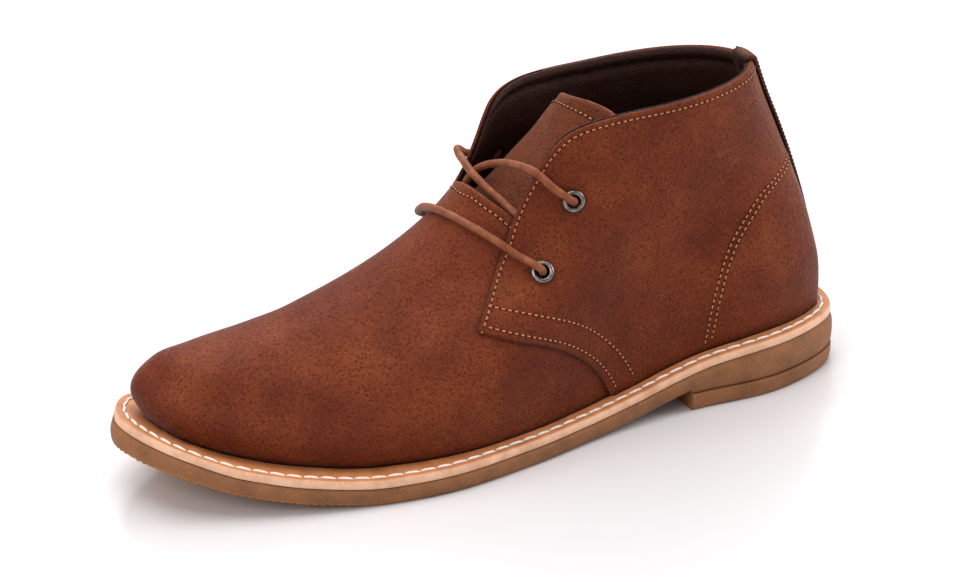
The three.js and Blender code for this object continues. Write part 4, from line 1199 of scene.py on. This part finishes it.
inner_u = np.linspace(0, SPANS, 241)
inner_v = np.linspace(0, TOP_LEVEL - 0.05, 120)
wall = form_point(inner_u[None, :], inner_v[:, None], -UPPER_WALL - GAP - 0.0002)
rows, columns = wall.shape[:2]
index = np.arange(rows * columns).reshape(rows, columns)
wall_faces = np.stack([index[:-1, :-1], index[:-1, 1:], index[1:, 1:], index[1:, :-1]], axis=-1).reshape(-1, 4)
wall_tree = BVHTree.FromPolygons([tuple(p) for p in wall.reshape(-1, 3)], wall_faces.tolist())


def kept_inside(points):
    """Points of the tongue that would pass the wall are pressed back against it."""
    flat_points = points.reshape(-1, 3).copy()
    middle = HEEL_BACK[0] - 0.01 * ANKLE_WIDTH
    for i, p in enumerate(flat_points):
        reach = p[0] - middle
        if abs(reach) < 0.004:
            continue
        way = Vector((math.copysign(1, reach), 0, 0))
        hit = wall_tree.ray_cast(Vector((middle, p[1], p[2])), way)
        if hit[0] is not None and hit[3] < abs(reach):
            flat_points[i, 0] = middle + math.copysign(hit[3], reach)
    return flat_points.reshape(points.shape)


q = np.concatenate([-1 + close_steps(1.0, 0.04, 0.03, 0.006) * 1.0, close_steps(1.0, 0.04, 0.03, 0.006)[1:]])
t = close_steps(0.082, 0.003, 0.0011)
face = tongue_point(q[None, :], t[:, None], 0.0)
face = in_row(face[..., 0], face[..., 1], face[..., 2])
left, right, low, high = edge_runs(face)
rim = 0.0006 * (1 - rounded(np.minimum(high, np.minimum(left, right)), 0.0012))
line = tongue_point(np.linspace(-0.92, 0.92, 60), np.full(60, TONGUE_ROW), 0.0)
row_line = in_row(line[:, 0], line[:, 1], line[:, 2])
near = nearness(face, row_line[::3], 0.0012)
TONGUE_TROUGHS = [
    ([(0.0166, 0.1426, 0.0940), (0.0205, 0.1400, 0.0922), (0.0240, 0.1385, 0.0910)], 0.0030, 0.0014),
    ([(-0.016, 0.128, 0.113), (-0.010, 0.122, 0.121), (-0.004, 0.118, 0.125)], 0.0016, 0.00035),
    ([(-0.012, 0.134, 0.109), (-0.006, 0.128, 0.116), (0.001, 0.123, 0.121)], 0.0018, 0.0003),
    ([(-0.020, 0.132, 0.104), (-0.014, 0.128, 0.112)], 0.0018, 0.0003),
]
relief = 0.0003 * near
for places, width, depth in TONGUE_TROUGHS:
    trough = np.array([in_row(*place) for place in places])
    relief = relief + depth * nearness(face, trough, width)
front = tongue_point(q[None, :], t[:, None], rim + relief)
back = tongue_point(q[None, :], t[:, None], TONGUE_THICKNESS - 0.5 * rim)
front = kept_inside(in_row(front[..., 0], front[..., 1], front[..., 2]))
back = kept_inside(in_row(back[..., 0], back[..., 1], back[..., 2]))
points, faces, used = shell(front, back)
# the top edge lighter: a painted highlight, with some wear
wear_and_highlight = 0.5 * np.exp(-(((high - 0.0006) / 0.0009) ** 2))
shade = 0.25 * near
marks = {
    "wear_and_highlight": np.concatenate([wear_and_highlight.ravel()] * 2)[used],
    "shade": np.concatenate([shade.ravel()] * 2)[used],
}
tongue_leather = leather_finish(
    "soft brown leather", (0.092, 0.0205, 0.0085), (0.132, 0.0305, 0.0118), (0.18, 0.046, 0.0165),
    (0.046, 0.0105, 0.0052), pore_share=0.5, gloss=0.48, sheen=0.30,
)
new_piece("tongue_piece", points, faces, tongue_leather, ["tongue"], marks)
lift_line = tongue_point(np.linspace(-0.92, 0.92, 60), np.full(60, TONGUE_ROW), -0.001)
out = unit(in_row(lift_line[:, 0], lift_line[:, 1], lift_line[:, 2]) - row_line)
row_line = kept_inside(row_line)
made, ends, normals = thread_row(
    "tongue_stitches", row_line, out, tan_thread, STITCH_PITCH, STITCH_LENGTH, STITCH_WIDTH, 0.00022, sides=6
)
row_ends.append(ends)
row_normals.append(normals)

# Back strip
# A dark leather strip laid over the back seam and stitched along both edges. It runs from the
# welt over the collar and a short way down inside.
STRIP_WIDTH = 0.013
STRIP_THICKNESS = 0.0015
STRIP_TURN_IN = 0.011
STRIP_TOP = COLLAR_HEIGHT * 0.997 + GAP
strip_leather = leather_finish(
    "dark brown strip leather", (0.034, 0.0088, 0.0050), (0.056, 0.0135, 0.0068), (0.105, 0.028, 0.0120),
    (0.016, 0.0048, 0.0030), pore_share=0.4, gloss=0.46, sheen=0.08,
)


def strip_centre():
    """Route of the strip's middle as (along, height)."""
    v = np.linspace(0.02, 9.9, 200)
    outer = upper_point(np.zeros(200), v, QUARTER_LEATHER + GAP / 2)
    inner = upper_point(np.zeros(200), v, -UPPER_WALL - GAP)
    outer = outer[outer[:, 2] < STRIP_TOP - 0.0012]
    inner = inner[(inner[:, 2] < STRIP_TOP - 0.0012) & (inner[:, 2] > STRIP_TOP - STRIP_TURN_IN)][::-1]
    a, b = outer[-1], inner[0]
    middle = (a + b) / 2
    half = (b[1] - a[1]) / 2
    turn = np.linspace(0, np.pi, 13)[1:-1]
    over = np.stack([np.zeros(11), middle[1] - half * np.cos(turn), a[2] + 0.0014 * np.sin(turn)], axis=1)
    return np.concatenate([outer, over, inner])[:, 1:]


route = evenly(np.pad(strip_centre(), ((0, 0), (0, 1))), 340)[:, :2]
tangent = unit(np.gradient(route, axis=0))
outward = np.stack([-tangent[:, 1], tangent[:, 0]], axis=1)
run = run_of(np.pad(route, ((0, 0), (0, 1))))
widths = np.concatenate([[-1, -1, -0.96], np.linspace(-0.9, 0.9, 15), [0.96, 1, 1]])
lifts = np.concatenate([[0.15, 0.6, 0.92], np.ones(15), [0.92, 0.6, 0.15]])
half = STRIP_WIDTH / 2 * lerp(0.78, 0.97, ease(0.02, 0.11, run))
hugging = np.array([0.0] * len(run))
front = np.zeros((len(run), len(widths), 3))
back = np.zeros_like(front)
pucker = 0.00012 * np.cos(2 * np.pi * run / 0.0019) * ease(0.045, 0.065, run)
for k, (share, lift) in enumerate(zip(widths, lifts)):
    x = share * half
    # the heel curves away from its middle line towards both sides
    drop = x**2 / (2 * 0.026)
    edge = np.abs(share) > 0.8
    thick = STRIP_THICKNESS * lift * lerp(0.7, 1.0, ease(0.08, 0.12, run)) + (pucker if edge else 0.3 * pucker)
    for target, out_by in ((front, thick), (back, 0.0 * thick)):
        target[:, k, 0] = x * (1 + (pucker / 0.004 if edge else 0))
        target[:, k, 1] = route[:, 0] + outward[:, 0] * out_by + drop * np.sign(-outward[:, 0])
        target[:, k, 2] = route[:, 1] + outward[:, 1] * out_by
front = in_row(front[..., 0], front[..., 1], front[..., 2])
back = in_row(back[..., 0], back[..., 1], back[..., 2])
points, faces, used = shell(front, back)
top = int(np.argmax(route[:, 1]))
inside = ease(run[top] + 0.0005, run[top] + 0.0022, run)
crest = np.exp(-(((run - run[top]) / 0.0022) ** 2)) * (1 - inside)
# the crest over the collar and the long edges lighter, for wear and a painted highlight; the turned-in end gets
# painted shade
wear_and_highlight = 0.55 * crest[:, None] + 0.10 * (np.abs(widths)[None, :] > 0.85)
shade = np.repeat(0.75 * inside[:, None], len(widths), axis=1)
marks = {
    "wear_and_highlight": np.concatenate([wear_and_highlight.ravel()] * 2)[used],
    "shade": np.concatenate([shade.ravel()] * 2)[used],
}
new_piece("back_strip_leather", points, faces, strip_leather, ["back_strip"], marks)

needle_holes("needle_holes", np.concatenate(row_ends), np.concatenate(row_normals))

# Eyelets
# Turned brass rings with an antique nickel finish, pressed through the quarters and rolled over.
EYELET_RADIUS = 0.0044
EYELET_HOLE = 0.00235
EYELET_PROFILE = [
    (2.35, -2.6), (2.8, -2.6), (2.8, -0.3), (4.2, -0.3), (4.42, 0.4), (4.4, 0.92), (4.2, 1.2), (3.8, 1.38),
    (3.35, 1.44), (2.95, 1.36), (2.65, 1.14), (2.45, 0.8), (2.36, 0.3),
]
finish, node, ramp, mixed, sums, wire = new_finish("antique nickel", Metallic=1.0, Roughness=0.3)
place = node("TexCoord").outputs["Object"]
cloud = node("TexNoise", {"Vector": place, "Scale": 700.0, "Detail": 3.0}).outputs[0]
wire(ramp(cloud, [(0.3, (0.13, 0.112, 0.105)), (0.6, (0.27, 0.245, 0.23))]), "Base Color")
wire(ramp(cloud, [(0.3, 0.18), (0.7, 0.34)]), "Roughness")
nickel = finish
for side, label in ((1, "outer"), (-1, "inner")):
    spots = eyelet_places(side)
    for (w, v), row in zip(spots, EYELETS):
        u = round_the_foot(side, np.array([w]))
        at = form_point(u, np.array([v]), QUARTER_LEATHER)[0]
        normal = unit(form_point(u, np.array([v]), QUARTER_LEATHER + 0.001)[0] - at)
        first = unit(np.cross(normal, [0.0, 0.0, 1.0]))
        second = np.cross(normal, first)
        angles = 2 * np.pi * np.arange(48) / 48
        ways = np.cos(angles)[:, None] * first + np.sin(angles)[:, None] * second
        # on the inner side the barrel's end is rolled in on the cord
        profile = EYELET_PROFILE + ([(1.65, -2.3)] if side < 0 else [])
        points = np.concatenate([at + ways * r / 1000 + normal * z / 1000 for r, z in profile])
        faces = []
        for r in range(len(profile)):
            after = (r + 1) % len(profile)
            for i in range(48):
                j = (i + 1) % 48
                faces.append((48 * r + i, 48 * r + j, 48 * after + j, 48 * after + i))
        name = f"eyelet_ring_{label}_{row}"
        new_piece(name, points, faces, nickel, [f"eyelet_{label}_{row}"], crisp=60)

# Lace
# A thin round cord of waxed cotton. One bar crosses the vamp between the lower eyelets, and both
# ends cross over the tongue to the upper eyelets, where they go in from outside.
LACE_RADIUS = 0.0016
THREADED = [(-2.4, 0), (-1.2, 0), (0.6, 0), (2.6, 0.5), (3.7, 2.4), (3.3, 5)]
BAR_ON_INNER = [(0.528, 0.61, 1.1), (0.503, 0.576, 1.3)]
UPPER_ON_INNER = [(0.437, 0.754, 1.1), (0.457, 0.775, 1.1)]
LOWER_ON_OUTER = [(0.437, 0.795, 1.0)]
BAR_FREE = [
    (0.474, 0.4852, 0.6156), (0.437, 0.4931, 0.6312), (0.392, 0.5036, 0.6509), (0.335, 0.5121, 0.6646),
    (0.278, 0.522, 0.6804), (0.218, 0.5297, 0.6896), (0.099, 0.5394, 0.699), (0.02, 0.5437, 0.6991),
    (-0.067, 0.5463, 0.6948), (-0.15, 0.5475, 0.6875), (-0.30, 0.5475, 0.665),
]
UPPER_FREE = [
    (-0.46, 0.4814, 0.7945), (-0.395, 0.4857, 0.7911), (-0.29, 0.4884, 0.7864), (-0.145, 0.4912, 0.7798),
    (-0.048, 0.4877, 0.763), (0.045, 0.4841, 0.7505), (0.158, 0.4777, 0.733), (0.239, 0.473, 0.7179),
    (0.294, 0.4681, 0.7044),
]
UPPER_TUCKED = [(0.473, 0.688, -7.2)]
LOWER_FREE = [
    (0.423, 0.4497, 0.8505), (0.315, 0.4563, 0.8525), (0.177, 0.4605, 0.841), (0.073, 0.4623, 0.8274),
    (-0.024, 0.4638, 0.8113), (-0.129, 0.4715, 0.791), (-0.213, 0.4794, 0.7634), (-0.258, 0.4867, 0.7305),
    (-0.29, 0.4905, 0.6978),
]


def on_quarter(side, rows):
    """Points over a quarter, from (along, height, room under the cord in mm)."""
    made = []
    for along, height, room in rows:
        place = along * SOLE_LENGTH - side * THROAT_SKEW * ANKLE_WIDTH / 2
        w, v = np.array([7.5]), np.array([7.0])
        h = 0.01
        for _ in range(40):
            p = upper_point(round_the_foot(side, w), v, QUARTER_LEATHER)
            p_w = upper_point(round_the_foot(side, w + h), v, QUARTER_LEATHER)
            p_v = upper_point(round_the_foot(side, w), v + h, QUARTER_LEATHER)
            a, b = (p_w - p)[:, 1] / h, (p_v - p)[:, 1] / h
            c, d = (p_w - p)[:, 2] / h, (p_v - p)[:, 2] / h
            ms, mz = p[:, 1] - place, p[:, 2] - height * COLLAR_HEIGHT
            det = a * d - b * c
            w = w - np.clip((ms * d - mz * b) / det, -0.4, 0.4)
            v = v - np.clip((mz * a - ms * c) / det, -0.4, 0.4)
        made.append(form_point(round_the_foot(side, w), v, QUARTER_LEATHER + LACE_RADIUS + room / 1000)[0])
    return made


def free_run(rows):
    return [in_row(x * ANKLE_WIDTH, along * SOLE_LENGTH, h * COLLAR_HEIGHT) for x, along, h in rows]


def threaded(side, row, toward):
    """The cord comes straight out of an eyelet and bends over its ring."""
    w, v = eyelet_places(side)[row]
    u = round_the_foot(side, np.array([w]))
    at = form_point(u, np.array([v]), QUARTER_LEATHER)[0]
    normal = unit(form_point(u, np.array([v]), QUARTER_LEATHER + 0.001)[0] - at)
    way = toward - at
    way = unit(way - normal * (way @ normal))
    return [at + normal * lift / 1000 + way * aside / 1000 for lift, aside in THREADED]


def curve_through(points, per_step=0.0004):
    """A centripetal curve through points, read at even distances."""
    p = np.array(points)
    padded = np.concatenate([[2 * p[0] - p[1]], p, [2 * p[-1] - p[-2]]])
    line = []
    for i in range(len(p) - 1):
        p0, p1, p2, p3 = padded[i : i + 4]
        d0, d1, d2 = (math.sqrt(np.linalg.norm(b - a)) for a, b in ((p0, p1), (p1, p2), (p2, p3)))
        t1 = ((p1 - p0) / d0 - (p2 - p0) / (d0 + d1) + (p2 - p1) / d1) * d1
        t2 = ((p2 - p1) / d1 - (p3 - p1) / (d1 + d2) + (p3 - p2) / d2) * d1
        t = np.linspace(0, 1, 24, endpoint=i == len(p) - 2)[:, None]
        line.append((2 * p1 - 2 * p2 + t1 + t2) * t**3 + (-3 * p1 + 3 * p2 - 2 * t1 - t2) * t**2 + t1 * t + p1)
    line = np.concatenate(line)
    return evenly(line, int(run_of(line)[-1] / per_step))


def braided_cord(name, points, finish, stands_for=()):
    """A round cord with the low diamond relief of a braid."""
    line = curve_through(points)
    way = unit(np.gradient(line, axis=0))
    side = np.zeros_like(line)
    start = np.cross(way[0], [0.2, 0.1, 1.0])
    side[0] = unit(start)
    for i in range(1, len(line)):
        carried = side[i - 1] - way[i] * (side[i - 1] @ way[i])
        side[i] = unit(carried)
    other = np.cross(way, side)
    sides = 20
    angles = 2 * np.pi * np.arange(sides) / sides
    run = run_of(line)
    braid = np.cos(5 * angles[None, :] + run[:, None] * 2600) * np.cos(5 * angles[None, :] - run[:, None] * 2600)
    radius = LACE_RADIUS * (0.985 + 0.03 * braid)
    points = line[:, None] + radius[..., None] * (
        side[:, None] * np.cos(angles)[None, :, None] + other[:, None] * np.sin(angles)[None, :, None]
    )
    faces = []
    for r in range(len(line) - 1):
        for i in range(sides):
            j = (i + 1) % sides
            faces.append((r * sides + i, r * sides + j, (r + 1) * sides + j, (r + 1) * sides + i))
    faces.append(tuple(reversed(range(sides))))
    faces.append(tuple((len(line) - 1) * sides + i for i in range(sides)))
    marks = {"groove": (-braid).clip(0, 1).ravel()}
    return new_piece(name, points.reshape(-1, 3), faces, finish, stands_for, marks, crisp=80)


finish, node, ramp, mixed, sums, wire = new_finish(
    "waxed cotton cord", Roughness=0.5, Specular_IOR_Level=0.2, Sheen_Weight=0.05, Sheen_Roughness=0.4
)
place = node("TexCoord").outputs["Object"]
cloud = node("TexNoise", {"Vector": place, "Scale": 260.0, "Detail": 4.0}).outputs[0]
strands = node("TexNoise", {"Vector": place, "Scale": 2400.0, "Detail": 3.0}).outputs[0]
colour = ramp(cloud, [(0.32, (0.165, 0.042, 0.0155)), (0.52, (0.235, 0.066, 0.025)), (0.72, (0.31, 0.100, 0.040))])
groove = node("Attribute", attribute_name="groove").outputs["Fac"]
# the braid's grooves are darkened with painted shade
colour = mixed(sums("MULTIPLY", groove, 0.45), colour, (0.085, 0.024, 0.009, 1))
colour = mixed(ramp(strands, [(0.5, 0.0), (0.72, 0.3)]), colour, (0.10, 0.03, 0.012, 1))
wire(colour, "Base Color")
bump = node("Bump", {"Height": strands, "Strength": 0.5, "Distance": 0.0002}).outputs[0]
wire(bump, "Normal")
lace_cord = finish

bar_free = free_run(BAR_FREE)
bar_inner = on_quarter(-1, BAR_ON_INNER)
bar = threaded(1, 1, bar_free[1])[:-1] + bar_free + bar_inner
bar += threaded(-1, 1, bar_inner[1])[::-1]
braided_cord("lace_over_vamp", bar, lace_cord, ["lace_bar"])
upper_outside = on_quarter(-1, UPPER_ON_INNER)
upper_strand = threaded(-1, 0, upper_outside[0]) + upper_outside + free_run(UPPER_FREE)
upper_strand += on_quarter(1, UPPER_TUCKED)
braided_cord("lace_to_inner_eyelet", upper_strand, lace_cord, ["lace_crossing"])
lower_outside = on_quarter(1, LOWER_ON_OUTER)
lower_strand = threaded(1, 0, lower_outside[0]) + lower_outside + free_run(LOWER_FREE)
braided_cord("lace_to_outer_eyelet", lower_strand, lace_cord, ["lace_crossing"])

# Studio
# A pale, faintly glossy floor under large soft lights, and the camera where the photograph's was.
floor_mesh = bpy.data.meshes.new("floor")
floor_mesh.from_pydata([(-6, -6, 0), (6, -6, 0), (6, 6, 0), (-6, 6, 0)], [], [(0, 1, 2, 3)])
floor = bpy.data.objects.new("floor", floor_mesh)
bpy.context.scene.collection.objects.link(floor)
finish, node, ramp, mixed, sums, wire = new_finish("pale floor", Roughness=0.22, Specular_IOR_Level=0.4)
place = node("TexCoord").outputs["Object"]
cloud = node("TexNoise", {"Vector": place, "Scale": 2.0}).outputs[0]
wire(ramp(cloud, [(0.3, (0.66, 0.640, 0.648)), (0.7, (0.672, 0.652, 0.66))]), "Base Color")
floor_mesh.materials.append(finish)

world = bpy.data.worlds.new("studio")
world.use_nodes = True
world.node_tree.nodes["Background"].inputs["Color"].default_value = (1, 1, 1, 1)
world.node_tree.nodes["Background"].inputs["Strength"].default_value = 0.57
bpy.context.scene.world = world


def soft_light(name, place, aim, size, power, colour=(1, 1, 1)):
    light = bpy.data.lights.new(name, "AREA")
    light.shape = "RECTANGLE"
    light.size, light.size_y = size
    light.energy = power
    light.color = colour
    lamp = bpy.data.objects.new(name, light)
    bpy.context.scene.collection.objects.link(lamp)
    lamp.location = place
    lamp.rotation_mode = "QUATERNION"
    lamp.rotation_quaternion = (Vector(aim) - Vector(place)).to_track_quat("-Z", "Y")


soft_light("overhead softbox", (-0.2, -0.15, 1.5), (0, 0, 0.05), (1.5, 1.5), 21)
soft_light("key softbox", (0.9, -1.3, 1.2), (0, 0, 0.05), (0.9, 0.9), 12)
soft_light("back softbox", (-1.0, 0.5, 1.0), (0, 0, 0.06), (1.0, 0.7), 9)
soft_light("heel softbox", (0.35, 1.35, 0.7), (0, 0.08, 0.07), (0.6, 0.9), 10)

AZIMUTH = math.radians(68.02)
ELEVATION = math.radians(24.15)
ROLL = math.radians(-3.12)
LENS = 140.85
CAMERA_PLACE = (1.24780, -0.504456, 0.65987)
backward = Vector((
    math.sin(AZIMUTH) * math.cos(ELEVATION), -math.cos(AZIMUTH) * math.cos(ELEVATION), math.sin(ELEVATION)
))
rightward = Vector((math.cos(AZIMUTH), math.sin(AZIMUTH), 0))
upward = backward.cross(rightward)
rolled_right = rightward * math.cos(ROLL) + upward * math.sin(ROLL)
rolled_up = upward * math.cos(ROLL) - rightward * math.sin(ROLL)
camera_data = bpy.data.cameras.new("camera")
camera_data.lens = LENS
camera_data.sensor_width = 36
camera_data.clip_end = 50
camera = bpy.data.objects.new("camera", camera_data)
bpy.context.scene.collection.objects.link(camera)
turn = Matrix((rolled_right, rolled_up, backward)).transposed()
camera.matrix_world = Matrix.Translation(CAMERA_PLACE) @ turn.to_4x4()
bpy.context.scene.camera = camera
bpy.context.scene.view_settings.view_transform = "Standard"
